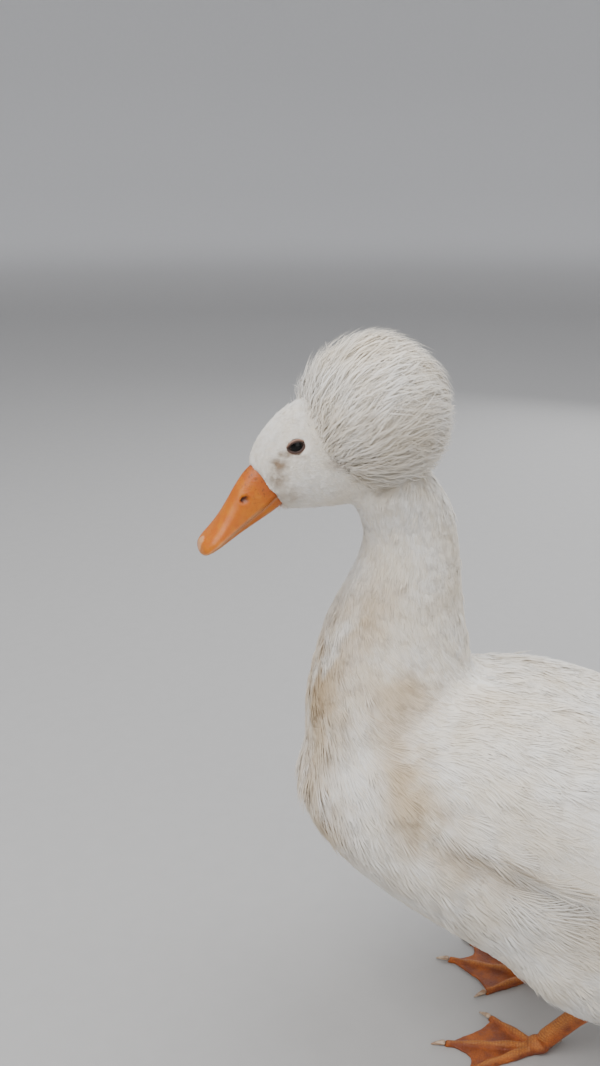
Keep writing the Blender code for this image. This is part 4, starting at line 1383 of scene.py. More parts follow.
@dataclass
class Coat:
    """Small feathers over the skin, in tufts, split into regions."""

    scatter: Scatter
    material: Material
    body_tufts: Pool
    face_tufts: Pool
    share: float = 1.0
    softness: float = 0.72
    loose: float = 0.03
    uneven: float = 0.18
    patch: float = 0.003
    wisps_a_side: int = 260
    seed: int = 42

    def sample(self, skin: Object) -> Roots:
        """Roots over the skin, as dense as the lie says.

        Args:
            skin: The skin's object.

        Returns:
            The roots.
        """
        mesh = skin.data
        mesh.calc_loop_triangles()
        corners = read_rows(mesh.loop_triangles, "vertices", 3, int)
        points = vertex_array(mesh)
        normals = vertex_normals(mesh)
        a, b, c = (points[corners[:, k]] for k in range(3))
        area = np.linalg.norm(np.cross(b - a, c - a), axis=1) / 2
        want = area * Lie.density((a + b + c) / 3) * self.share
        rng = default_rng(self.seed)
        count = np.floor(want + rng.uniform(0, 1, len(want))).astype(int)
        pick = corners[np.repeat(np.arange(len(count)), count)]
        r = np.sqrt(rng.uniform(0, 1, len(pick)))[:, None]
        s = rng.uniform(0, 1, len(pick))[:, None]
        weights = (1 - r, r * (1 - s), r * s)
        places = sum(w * points[pick[:, k]] for k, w in enumerate(weights))
        outs = unit(sum(w * normals[pick[:, k]] for k, w in enumerate(weights)))
        lie, sure = Lie.direction(places, outs)
        loose = rng.uniform(0, 1, len(lie)) < self.loose
        outs = np.where(loose[:, None], unit(outs - 0.17 * lie), outs)
        return Roots(places, outs, lie, Lie.length(places)).only(sure > Lie.LEAST)

    def clear_of_bare_parts(self, roots: Roots) -> Roots:
        """Drop the roots at the eyes and under the tail's vanes, and most of those under the wings'.

        Args:
            roots: All roots.

        Returns:
            Those that stay.
        """
        head = Layout.head_coordinates(roots.points)
        forward, up = head[:, 0] - Eyes.MIDDLE[0], head[:, 2] - Eyes.MIDDLE[2]
        keep = ~(((forward / 6.4) ** 2 + (up / 5.2) ** 2 < 1) & (np.abs(head[:, 1]) > 5))
        along, degrees = Layout.torso_coordinates(roots.points)
        keep &= roots.points[:, 1] < Layout.TAIL_ROOT[1] + 0.040
        under_vanes = (along > 196) & (along < 300) & (degrees > 17) & (degrees < 72)
        keep &= ~(under_vanes & (default_rng(4).uniform(0, 1, len(keep)) < 0.8))
        return roots.only(keep)

    def region_of(self, roots: Roots) -> Array:
        """Region that each root belongs to.

        Args:
            roots: The roots.

        Returns:
            A number for each, by the last rule that holds.
        """
        x, y, z = roots.points.T
        head = Layout.head_coordinates(roots.points)
        along, degrees = Layout.torso_coordinates(roots.points)
        left = x > 0
        flank = (along >= 80) & (degrees > -40)
        wing = (along > 52) & (degrees > 8) & (degrees < 60) & (z < 0.29)
        fore = y < Layout.SHIFT + 0.13
        rules = (
            (along < 80, Region.BREAST),
            (flank & left, Region.FLANK_LEFT),
            (flank & ~left, Region.FLANK_RIGHT),
            ((degrees > 60) & (along > 60), Region.BACK),
            (wing & left, Region.WING_LEFT),
            (wing & ~left, Region.WING_RIGHT),
            ((z > 0.255) & fore, Region.NECK),
            ((z > 0.325) & fore, Region.NAPE),
            ((head[:, 0] > -34) & (z > 0.35), Region.FACE),
        )
        region = np.full(len(x), Region.BELLY.value)
        for mask, part in rules:
            region[mask] = part.value
        return region

    def write_bake_map(self, mesh: Mesh) -> None:
        """Write the bake map from each tuft's own chart and the place of its root, and drop what it read.

        Args:
            mesh: The tufts.
        """
        roots = read_rows(mesh.attributes["root_chart"].data, "vector", 3)[corner_vertices(mesh), :2]
        own = read_rows(mesh.attributes["tuft"].data, "vector", 2)
        for name in ("tuft", "root_chart", "lie", "size"):
            mesh.attributes.remove(mesh.attributes[name])
        bake_map(mesh, roots + (own - 0.5) * self.patch)

    def grow(self, name: str, roots: Roots, tufts: Pool, turn: float, lift: float) -> Object:
        """Set tufts on roots and make them one mesh.

        Args:
            name: Name of the piece.
            roots: Where they grow.
            tufts: Shapes to pick from.
            turn: Largest turn from the lie, in radians.
            lift: Largest extra rise, in radians.

        Returns:
            The piece.
        """
        made = mesh_object(name, roots.points, [], False)
        tone = default_rng(9).uniform(0, 1, len(roots.points))
        values = (roots.normals, roots.lie, roots.size, roots.chart(), tone)
        for key, value in zip(("out", "lie", "size", "root_chart", "tone"), values):
            point_attribute(made.data, key, value)
        self.scatter.set_on(
            made, Tufts=tufts, Material=self.material, Turn=turn, Lift=lift, Uneven=self.uneven, Seed=7
        )
        settle(made)
        self.write_bake_map(made.data)
        made.data.shade_smooth()
        form = read_rows(made.data.attributes["out"].data, "vector", 3)
        made.data.attributes.remove(made.data.attributes["out"])
        soften(made.data, form, self.softness)
        return made

    def wisps(self, wing: "Wing", tree: BVHTree, tufts: Pool) -> Object:
        """Loosened flank feathers that curl up over the lower edge of a wing.

        Args:
            wing: The wing.
            tree: Search tree of the skin.
            tufts: Shapes to pick from.

        Returns:
            The piece.
        """
        rng = default_rng(77 + wing.side.value)
        count = self.wisps_a_side
        along = 120 + 175 * rng.uniform(0, 1, count) ** 0.8
        degrees = 3 + 0.075 * (along - 120) * 0.6 + rng.uniform(-7, 9, count)
        hits = [wing.surface(tree, a, d) for a, d in zip(along, degrees)]
        places, outs = (np.array(v) for v in zip(*hits))
        outs = unit(outs)
        lie, _ = Lie.direction(places, outs)
        lie = unit(lie + 0.34 * Layout.UP * rng.uniform(0.2, 1.2, (count, 1)))
        lie = unit(along_surface(lie, outs))
        size = rng.uniform(0.024, 0.038, count)
        return self.grow("wisps_" + wing.side.word, Roots(places, outs, lie, size), tufts, 0.35, 0.16)

    def build(self, skin: Object) -> list:
        """Grow every region.

        Args:
            skin: The skin's object.

        Returns:
            The pieces of the coat.
        """
        roots = self.clear_of_bare_parts(self.sample(skin))
        region = self.region_of(roots)
        made = []
        for part in Region:
            tufts = self.face_tufts if part is Region.FACE else self.body_tufts
            chosen = roots.only(region == part.value)
            made.append(self.grow("coat_" + part.name.lower(), chosen, tufts, 0.22, 0.06))
        return made


@dataclass
class VaneShape:
    """Broad vane of a feather over a path, closed, with a ridge and fringed edges."""

    rows: int = 22
    columns: int = 8
    thickness: float = 0.0004
    thinnest: float = 0.00006
    camber: float = 0.045
    ridge: float = 0.0002
    lean: float = 0.30
    softness: float = 0.75
    fringe: float = 0.09
    tip_power: float = 0.36

    def faces(self) -> Array:
        """Faces between the rows of the top and the underside, and round the rim.

        Returns:
            Four indices for each face.
        """
        grid = np.arange((self.rows + 1) * (self.columns + 1)).reshape(self.rows + 1, -1)
        over = np.stack([grid[:-1, :-1], grid[1:, :-1], grid[1:, 1:], grid[:-1, 1:]], axis=-1).reshape(-1, 4)
        rim = np.concatenate([grid[0], grid[1:, -1], grid[-1, -2::-1], grid[-2:0:-1, 0]])
        after = np.roll(rim, -1)
        edge = np.stack([rim, after, grid.size + after, grid.size + rim], axis=1)
        return np.concatenate([over, grid.size + over[:, [0, 3, 2, 1]], edge])

    def build(self, path: Array, ups: Array, width: float, rng: Generator) -> tuple:
        """Make the vane.

        Args:
            path: Places along its shaft, root to tip.
            ups: Directions out of the wing there.
            width: Its full width.
            rng: Source of its unevenness.

        Returns:
            Points, faces, chart places, and marks and a normal for each point.
        """
        t_path = np.linspace(0, 1, len(path))
        t = np.linspace(0, 1, self.rows + 1) ** 0.8
        shaft = np.stack([np.interp(t, t_path, path[:, k]) for k in range(3)], axis=1)
        up = unit(np.stack([np.interp(t, t_path, ups[:, k]) for k in range(3)], axis=1))
        ahead = unit(np.gradient(shaft, axis=0))
        across = unit(np.cross(ahead, up))
        up = unit(np.cross(across, ahead))
        taper = np.minimum(1.0, 0.5 + 2.0 * t) * np.clip(1 - t, 0.0, 1) ** self.tip_power
        half = (width / 2 * np.maximum(taper / taper.max(), 0.03))[:, None]
        comb = 1 - self.fringe * (np.arange(self.rows + 1) % 2)
        comb = comb + rng.uniform(-1, 1, self.rows + 1) * self.fringe * 0.6
        x = np.linspace(-1, 1, self.columns + 1)
        edge = np.where(np.abs(x) > 0.8, comb[:, None], 1.0)
        lean = self.lean * np.abs(x) ** 1.4 * half
        high = -self.camber * half * x * x + self.ridge * np.exp(-((x / 0.12) ** 2)) * (1 - t)[:, None]
        top = shaft[:, None] + (x * edge * half)[..., None] * across[:, None]
        top = top + high[..., None] * up[:, None] + lean[..., None] * ahead[:, None]
        thin = self.thickness * (1 - 0.7 * t)[:, None, None] * (1 - 0.8 * x[None, :, None] ** 4)
        low = top - up[:, None, :] * np.maximum(thin, self.thinnest)
        barb = ((t * np.linalg.norm(path[-1] - path[0]))[:, None] - 0.7 * np.abs(x) * half) / MM
        marks = np.stack([barb.ravel(), np.tile(x, self.rows + 1)], axis=1)
        chart = np.stack([v.ravel() for v in np.meshgrid(np.linspace(0, 1, len(x)), t)], axis=1)
        form = np.repeat(up, len(x), axis=0)
        form = np.concatenate([form, -form])
        points = np.concatenate([top.reshape(-1, 3), low.reshape(-1, 3)])
        return points, self.faces(), np.tile(chart, (2, 1)), np.tile(marks, (2, 1)), form


class VaneSet:
    """Collects vanes into one piece with its bake map."""

    def __init__(self, name: str, shape: VaneShape, seed: int) -> None:
        """Start an empty set.

        Args:
            name: Name of the piece.
            shape: Shape of its vanes.
            seed: Seed of their unevenness.
        """
        self.name = name
        self.shape = shape
        self.rng = default_rng(seed)
        self.vanes = []
        self.total = 0

    def add(self, path: Array, ups: Array, width: float) -> None:
        """Add one vane over a path.

        Args:
            path: Places along its shaft.
            ups: Directions out there.
            width: Its full width.
        """
        points, faces, chart, marks, form = self.shape.build(path, ups, width, self.rng)
        tone = np.full((len(points), 1), self.rng.uniform(0, 1))
        self.vanes.append((points, faces + self.total, chart, np.concatenate([marks, tone], axis=1), form))
        self.total += len(points)

    def build(self, material: Material) -> Object:
        """Make the piece, each vane with its own cell of the bake map.

        Args:
            material: Its finish.

        Returns:
            The piece.
        """
        points, faces, charts, marks, forms = zip(*self.vanes)
        marks = dict(zip(("barb", "across", "tone"), np.concatenate(marks).T))
        made = closed_piece(self.name, np.concatenate(points), np.concatenate(faces), material, **marks)
        soften(made.data, np.concatenate(forms), self.shape.softness)
        side = ceil(sqrt(len(charts)))
        corners = [np.array([i % side, i // side]) for i in range(len(charts))]
        cells = [(corner + 0.06 + 0.88 * chart) / side for corner, chart in zip(corners, charts)]
        bake_map(made.data, np.concatenate(cells)[corner_vertices(made.data)])
        return made


@dataclass(frozen=True)
class Tier:
    """One tier of wing vanes: its ends for the lowest and the highest vane, then width and lift."""

    count: int
    roots: tuple
    tips: tuple
    root_angles: tuple
    tip_angles: tuple
    width: float
    lift: float
    clear: float = 0.0


@dataclass
class Wing:
    """Folded wing of one side, tiers of vanes laid over the skin."""

    side: Side
    tiers: tuple = (
        Tier(7, (200, 222), (322, 344), (24, 54), (29, 50), 18.0, 0.4, 1.0),
        Tier(9, (150, 190), (268, 300), (13, 44), (15, 45), 22.0, 1.0, 1.0),
        Tier(7, (180, 200), (296, 322), (44, 78), (45, 76), 26.0, 1.4, 1.0),
        Tier(15, (150, 176), (232, 266), (12, 77), (13, 76), 20.0, 1.8, 0.6),
        Tier(17, (128, 156), (204, 236), (12, 76), (13, 76), 18.0, 1.8),
    )
    vane_rows: int = 16
    path_steps: int = 9
    # Millimetres along the torso past which the tips stand clear of the skin
    clear_from: float = 262.0

    def surface(self, tree: BVHTree, along: float, degrees: float) -> tuple:
        """Place on the skin and its normal.

        Args:
            tree: Search tree of the skin.
            along: Millimetres along the torso.
            degrees: Angle up round it.

        Returns:
            The place and the normal.
        """
        axis = Layout.axis_point(along)
        a = radians(degrees)
        out = np.array([self.side.value * cos(a), 0.0, 0.0]) + Layout.TORSO_UP * sin(a)
        hit, normal, _, _ = tree.ray_cast(Vector(axis + out * 0.3), Vector(-out))
        if hit is None:
            return axis + out * 0.05, out
        return np.array(hit), np.array(normal)

    def build(self, tree: BVHTree, material: Material) -> Object:
        """Make the wing's vanes.

        Args:
            tree: Search tree of the skin.
            material: Finish of the vanes.

        Returns:
            The wing's object.
        """
        vanes = VaneSet("vanes_wing_" + self.side.word, VaneShape(rows=self.vane_rows), 20 + self.side.value)
        for tier in self.tiers:
            for share in np.arange(tier.count) / (tier.count - 1):
                jolt = vanes.rng.uniform(-1, 1, 2)
                ends = (tier.roots, tier.root_angles, tier.tips, tier.tip_angles)
                root, root_angle, tip, tip_angle = (np.interp(share, (0, 1), end) for end in ends)
                tip = tip + 3 * jolt[0]
                path = []
                ups = []
                for t in np.linspace(0, 1, self.path_steps):
                    along = root + (tip - root) * t
                    degrees = root_angle + (tip_angle - root_angle) * t + jolt[1]
                    place, normal = self.surface(tree, along, degrees)
                    over = max(along - self.clear_from, 0) / 80
                    rise = tier.lift * t + 0.8 + 5.0 * over * tier.clear - 1.6 * (1 - t) ** 2
                    path.append(place + normal * rise * MM)
                    ups.append(normal)
                vanes.add(np.array(path), np.array(ups), tier.width * MM * (1 + 0.05 * jolt[0]))
        return vanes.build(material)


@dataclass(frozen=True)
class Fan:
    """One layer of tail vanes: count, share of the tail's length, width, heights and drop at the sides."""

    count: int
    share: float
    width: float
    root_height: float
    tip_height: float
    drop: float


@dataclass
class Tail:
    """Tail of flight vanes in a fan, with coverts above and below."""

    length: float = 108.0
    spread: float = radians(36.0)
    root_half: float = 16.0
    behind: float = 14.0
    camber: float = 0.06
    path_steps: int = 7
    layers: tuple = (
        Fan(14, 1.0, 18.0, 1.5, 2.5, 6.0),
        Fan(13, 0.96, 18.0, 3.0, 3.2, 6.0),
        Fan(10, 0.66, 22.0, 6.0, 2.9, 6.0),
        Fan(9, 0.46, 22.0, 9.5, 3.7, 5.0),
        Fan(11, 0.72, 22.0, -2.0, 0.6, 5.0),
        Fan(9, 0.46, 22.0, -8.0, -1.7, 3.0),
    )

    def build(self, material: Material) -> Object:
        """Make the tail's vanes.

        Args:
            material: Finish of the vanes.

        Returns:
            The tail's object.
        """
        vanes = VaneSet("vanes_tail", VaneShape(camber=self.camber), 31)
        c, s = cos(Layout.TAIL_RISE), sin(Layout.TAIL_RISE)
        for fan in self.layers:
            face_up = -1 if fan.root_height < 0 else 1
            for i in range(fan.count):
                at = 2 * i / (fan.count - 1) - 1
                turn = at * self.spread / 2
                length = self.length * fan.share * (1 - 0.1 * at * at)
                length = length * (1 + 0.02 * vanes.rng.uniform(-1, 1))
                t = np.linspace(0, 1, self.path_steps)
                reach = -self.behind + (length + self.behind) * t
                x = at * self.root_half + reach * sin(turn)
                y = reach * cos(turn)
                z = fan.root_height + (fan.tip_height - fan.root_height) * t - fan.drop * abs(at) ** 1.5
                z = z + 2.0 * t * t
                path = Layout.TAIL_ROOT + np.stack([x, y * c - z * s, y * s + z * c], axis=1) * MM
                up = np.array([0.35 * sin(turn), -s, c]) * face_up
                vanes.add(path, np.tile(up, (self.path_steps, 1)), fan.width * MM)
        return vanes.build(material)


@dataclass(frozen=True)
class Locks:
    """One kind of lock in the crest: count, widths in millimetres, thickness and reach as shares."""

    name: str
    count: int
    thin: float
    wide: float
    thick: float
    reach: float


@dataclass
class Crest:
    """Round fluffy crest: a ball of down under thousands of fine locks that rise and stream back."""

    reach: float = 44.8
    down: float = 0.912
    layers: tuple = (
        Locks("strands", 13500, 0.24, 0.46, 0.6, 0.975),
        Locks("plumes", 11500, 0.7, 1.6, 0.08, 0.965),
    )
    least_flow: float = 0.8
    bends: tuple = (0.0, 0.22, 0.60, 1.0)
    rises: tuple = (0.84, 0.94, 1.0, 1.0)
    clump: float = 0.24
    frizz: float = 0.11
    softness: float = 0.96
    density: float = 1.0
    seed: int = 8
    # Radius of the sphere on which the noises are read
    sphere: float = 0.05
    patch: tuple = (0.0014, 0.003)

    def uneven(self, out: Array, scale: float, seed: int) -> Array:
        """Noise over the crest's directions."""
        return lattice_noise(out * self.sphere, scale, seed)

    def reach_at(self, out: Array) -> Array:
        """Millimetres from the middle to the crest's outline in each direction.

        Args:
            out: The directions.

        Returns:
            A reach for each.
        """
        crown = unit(Layout.FORWARD + Layout.UP)
        lumps = 0.035 * self.uneven(out, 0.030, 63) + 0.02 * self.uneven(out, 0.012, 64)
        return self.reach * (1 + 0.05 * np.clip(out @ crown, 0, None) + lumps)

    def flow(self, out: Array) -> Array:
        """Way that the locks bend: up from the forehead, back over the crown and down the nape.

        Args:
            out: Directions of the roots.

        Returns:
            A vector for each, along the surface.
        """
        rise = -0.45 + 1.25 * smoothstep(-0.5, 0.7, out @ Layout.FORWARD)
        flat = along_surface(np.outer(rise, Layout.UP) - Layout.FORWARD, out)
        strength = np.linalg.norm(flat, axis=1, keepdims=True)
        return flat * np.maximum(self.least_flow / np.maximum(strength, 0.05), 1.0)

    def ball(self, material: Material) -> Object:
        """Ball of down inside the locks.

        Args:
            material: Its finish.

        Returns:
            The piece.
        """
        shaped = bmesh.new()
        bmesh.ops.create_icosphere(shaped, subdivisions=6, radius=1.0)
        mesh = mesh_of(shaped, "crest_down")
        out = unit(vertex_array(mesh))
        reach = self.reach_at(out) * self.down * (1 + 0.03 * self.uneven(out, 0.008, 61))
        set_vertices(mesh, Layout.CREST_MIDDLE + out * (reach * MM)[:, None])
        made = make_object("crest_down", mesh)
        mesh.shade_smooth()
        dress(made, material)
        return made

    def paths(self, rng: Generator, count: int, share: float) -> tuple:
        """Rows of places along every lock, and the direction that it grows in.

        Args:
            rng: Source of the unevenness.
            count: How many locks.
            share: How far out, of the crest's outline.

        Returns:
            Rows of places, and the directions.
        """
        k = np.arange(count) + 0.5
        z = 1 - 2 * k / count
        turn = pi * (3 - sqrt(5)) * k
        flat = np.sqrt(1 - z * z)
        out = np.stack([flat * np.cos(turn), flat * np.sin(turn), z], axis=1)
        out = unit(out + rng.normal(0, 0.03, out.shape))
        flow = self.flow(out)
        amount = rng.uniform(0.25, 0.95, count)
        clump = self.clump * np.stack([self.uneven(out, 0.011, 50 + i) for i in range(3)], axis=1)
        frizz = self.frizz * rng.normal(0, 1, out.shape)
        loose = rng.uniform(0, 1, count)
        reach = self.reach_at(out) * share
        short = rng.uniform(0, 1, count)
        rows = []
        for bend, rise in zip(self.bends, self.rises):
            sway = flow * (amount * bend)[:, None] + (clump + frizz) * bend ** 1.3
            tall = reach * (rise - 0.020 * (1 - short) * bend + 0.16 * loose ** 5 * bend)
            rows.append(Layout.CREST_MIDDLE + unit(out + sway) * (tall * MM)[:, None])
        return np.array(rows), out

    def outside(self, rows: Array, tree: BVHTree) -> Array:
        """Which locks end outside the skin.

        Args:
            rows: Places along the locks.
            tree: Search tree of the skin.

        Returns:
            A flag for each.
        """
        keep = np.zeros(rows.shape[1], bool)
        for i in range(rows.shape[1]):
            heights = []
            for place in (rows[-1, i], rows[-2, i]):
                near, normal, _, _ = tree.find_nearest(Vector(place))
                heights.append((Vector(place) - near).dot(normal))
            keep[i] = heights[0] > 0 and heights[1] > -0.003
        return keep

    def bundle(self, name: str, rows: Array, out: Array, wide: Array, thick: float, tone: Array,
               material: Material) -> Object:
        """Make one piece of locks, each a tapered rod of three sides.

        Args:
            name: Its name.
            rows: Places along the locks.
            out: Direction of each.
            wide: Width of each.
            thick: Thickness by half the width.
            tone: Tone of each.
            material: Their finish.

        Returns:
            The piece.
        """
        last = len(rows) - 1
        rings = []
        for r in range(last):
            share = r / last
            ahead = unit(rows[r + 1] - rows[max(r - 1, 0)])
            across = unit(np.cross(ahead, out))
            up = unit(np.cross(across, ahead))
            half = (wide * (0.5 + 0.9 * share - 0.75 * share ** 3) * 0.5)[:, None]
            sides = [rows[r] - across * half, rows[r] + across * half, rows[r] + up * half * thick]
            rings.append(np.stack(sides, axis=1))
        cloud = np.concatenate(rings + [rows[last][:, None, :]], axis=1)
        per = cloud.shape[1]
        cloud = cloud.reshape(-1, 3)
        faces = (np.arange(len(out))[:, None, None] * per + np.array(rod_faces(last))).reshape(-1, 3)
        made = closed_piece(name, cloud, faces, material, tone=np.repeat(tone, per))
        soften(made.data, cloud - Layout.CREST_MIDDLE, self.softness)
        self.write_chart(made.data, out, per)
        return made

    def write_chart(self, mesh: Mesh, out: Array, per: int) -> None:
        """Write the bake map, each lock a patch at its root's place on an unwrap of the ball.

        Args:
            mesh: The locks.
            out: Direction of each.
            per: Vertices in each.
        """
        u = 0.5 + np.arctan2(out[:, 1], out[:, 0]) / TURN
        v = 0.5 + np.arcsin(np.clip(out[:, 2], -1, 1)) / pi
        corners = corner_vertices(mesh)
        lock, step = corners // per, corners % per
        u = u[lock] + (step % 3 - 1) * self.patch[0]
        v = v[lock] + (step / per - 0.5) * self.patch[1]
        bake_map(mesh, np.stack([u, v], axis=1))

    def build(self, feathers: Material, down: Material, tree: BVHTree) -> list:
        """Make the ball and the locks.

        Args:
            feathers: Finish of the locks.
            down: Finish of the ball.
            tree: Search tree of the skin.

        Returns:
            The pieces.
        """
        rng = default_rng(self.seed)
        made = [self.ball(down)]
        for layer in self.layers:
            count = int(layer.count * self.density)
            rows, out = self.paths(rng, count, layer.reach)
            width = rng.uniform(layer.thin, layer.wide, count) * MM
            tone = rng.uniform(0, 1, count)
            keep = self.outside(rows, tree)
            front = out @ Layout.FORWARD > 0
            for word, half in (("rear", ~front), ("front", front)):
                pick = keep & half
                name = f"crest_{layer.name}_{word}"
                locks = rows[:, pick], out[pick], width[pick], layer.thick, tone[pick]
                made.append(self.bundle(name, *locks, feathers))
        return made


@dataclass
class Bill:
    """Upper and lower bill in millimetres, with nostrils, nail, mouth line and pale edges."""

    root: tuple = (20.0, -22.0)
    drop: float = radians(24.0)
    places: tuple = (-6, 3, 12, 22, 32, 41, 46, 51, 54.5)
    half: tuple = (11.0, 11.6, 11.6, 11.4, 11.8, 12.8, 12.8, 10.4, 5.6)
    top: tuple = (13.8, 13.8, 11.8, 8.6, 5.6, 3.8, 3.2, 2.2, 0.6)
    mouth: tuple = (-6.0, -6.2, -5.8, -5.0, -4.0, -3.2, -2.8, -2.9, -3.1)
    under: tuple = (-14.8, -14.8, -13.2, -11.0, -8.8, -6.9, -5.8, -4.8, -4.1)
    rows: int = 96
    ring: int = 64
    gap: float = 0.175
    length: float = 54.0
    nostril: tuple = (15.0, 5.6)
    nostril_size: tuple = (3.3, 1.75)
    nail: float = 50.6
    nail_size: tuple = (4.6, 4.2)

    def place(self, local: Array) -> Array:
        """Places in the row's frame of millimetres forward, left and up in the bill's.

        Args:
            local: Places in the bill's frame.

        Returns:
            Places in metres.
        """
        c, s = cos(self.drop), sin(self.drop)
        forward = Layout.SKULL * c - Layout.HEAD_UP * s
        up = Layout.SKULL * s + Layout.HEAD_UP * c
        origin = Layout.head_point(self.root[0], 0.0, self.root[1])
        return origin + local @ np.stack([forward, Layout.HEAD_LEFT, up]) * MM

    def form(self, rows: int, power: float, closing: float, end: float, least: float, over: Array | float,
             edges: tuple) -> tuple:
        """Rows of one half of the bill, which closes towards its tip.

        Args:
            rows: How many rows.
            power: How much closer they stand at the tip.
            closing: Where it starts to close.
            end: Where it ends.
            least: Least share of the width.
            over: How far the upper edge moves.
            edges: Heights of upper and lower edge.

        Returns:
            Columns of places, half widths, upper and lower edges, and heights.
        """
        first = self.places[0]
        at = first + (end - first) * (1 - (1 - np.linspace(0, 1, rows)) ** power)
        curves = (self.half, *edges)
        half, high, low = (curve_through(self.places, v)(np.minimum(at, self.places[-1])) for v in curves)
        high = high + over
        past = at > closing
        close = np.sqrt(np.clip(1 - ((at - closing) / (end - closing)) ** 2, 0.0, 1.0))
        widest = float(curve_through(self.places, self.half)(closing))
        half = np.where(past, widest * np.maximum(close, least), half)
        tall = np.maximum(high - low, 0.4)
        tall = np.where(past, np.maximum(tall * np.maximum(close, 0.05), 0.15), tall)
        return tuple(v[:, None] for v in (at, half, high, low, tall))

    def tube(self, at: Array, x: Array, z: Array, **marks: Array | float) -> tuple:
        """Close rings of points into a mesh.

        Args:
            at: Millimetres forward of each ring.
            x: Left of each point.
            z: Up of each point.
            **marks: Shares of nail, nostril and pale edge.

        Returns:
            Points, faces and attributes.
        """
        count, n = x.shape
        at = np.broadcast_to(at, x.shape)
        marks["along"] = np.clip(at / self.length, 0, 1)
        marks = {key: np.broadcast_to(values, x.shape).ravel() for key, values in marks.items()}
        caps = [tuple(range(n))[::-1], tuple(range((count - 1) * n, count * n))]
        points = self.place(np.stack([at, x, z], axis=-1).reshape(-1, 3))
        return points, ring_faces(count, n) + caps, marks

    def upper(self) -> tuple:
        """Points, faces and attributes of the upper bill.

        Returns:
            Points, faces and attributes.
        """
        at, half, _, mouth, tall = self.form(self.rows, 1.6, 49.5, 54.9, 0.02, 0.0, (self.top, self.mouth))
        angle = np.linspace(0, TURN, self.ring, endpoint=False)
        c, w = np.cos(angle), np.sin(angle)
        x = np.where(w > 0, half * np.sign(c) * np.abs(c) ** 0.82, half * c)
        sag = -0.25 * np.sin(pi * np.clip(np.abs(x) / half, 0, 1))
        z = np.where(w > 0, tall * np.abs(w) ** 0.9, sag)
        lip = np.exp(-((z / 0.8) ** 2)) * (w > -0.15) * (np.abs(c) > 0.5)
        x = x * (1 + 0.035 * lip * smoothstep(0, 10, at))
        z = z + np.exp(-((x / 2.8) ** 2)) * (w > 0) * smoothstep(40, 15, at) * 0.5
        base = mouth + self.gap
        side = (w > 0) & (np.abs(x) > 3)
        long, tall = self.nostril_size
        away = np.sqrt(((at - self.nostril[0]) / long) ** 2 + ((z + base - self.nostril[1]) / tall) ** 2)
        pit = np.clip(1 - away, 0, 1) * side
        rim = np.exp(-((away - 1.15) / 0.22) ** 2) * side
        x = x - np.sign(x) * smoothstep(0, 0.55, pit) * 2.2 + np.sign(x) * rim * 0.28
        away = np.sqrt(((at - self.nail) / self.nail_size[0]) ** 2 + (x / self.nail_size[1]) ** 2)
        nail = smoothstep(1.0, 0.82, away) * (w > 0)
        z = z + nail * 0.55
        edge = np.clip(lip * (np.abs(z) < 1.6), 0, 1) * smoothstep(6, 20, at)
        return self.tube(at, x, base + z, nail=nail, pit=smoothstep(0.05, 0.4, pit), edge=edge)

    def lower(self) -> tuple:
        """Points, faces and attributes of the lower bill.

        Returns:
            Points, faces and attributes.
        """
        edges = (self.mouth, self.under)
        at, half, high, _, tall = self.form(self.rows // 2, 1.5, 48.5, 53.3, 0.03, -self.gap, edges)
        angle = np.linspace(0, TURN, self.ring, endpoint=False)
        c, w = np.cos(angle), np.sin(angle)
        x = half * 0.93 * np.sign(c) * np.abs(c) ** 0.8
        z = np.where(w < 0, -tall * np.abs(w) ** 0.85, 0.0)
        z = z + np.exp(-((x / 2.2) ** 2)) * (w < 0) * smoothstep(44, 30, at) * 0.8
        edge = np.exp(-((z / 1.2) ** 2)) * (np.abs(c) > 0.6) * 0.8
        return self.tube(at, x, high + z, nail=0.0, pit=0.0, edge=edge)

    def build(self, material: Material) -> list:
        """Make both halves."""
        halves = {"bill_top": self.upper(), "bill_bottom": self.lower()}
        return [closed_piece(name, *half[:2], material, **half[2]) for name, half in halves.items()]


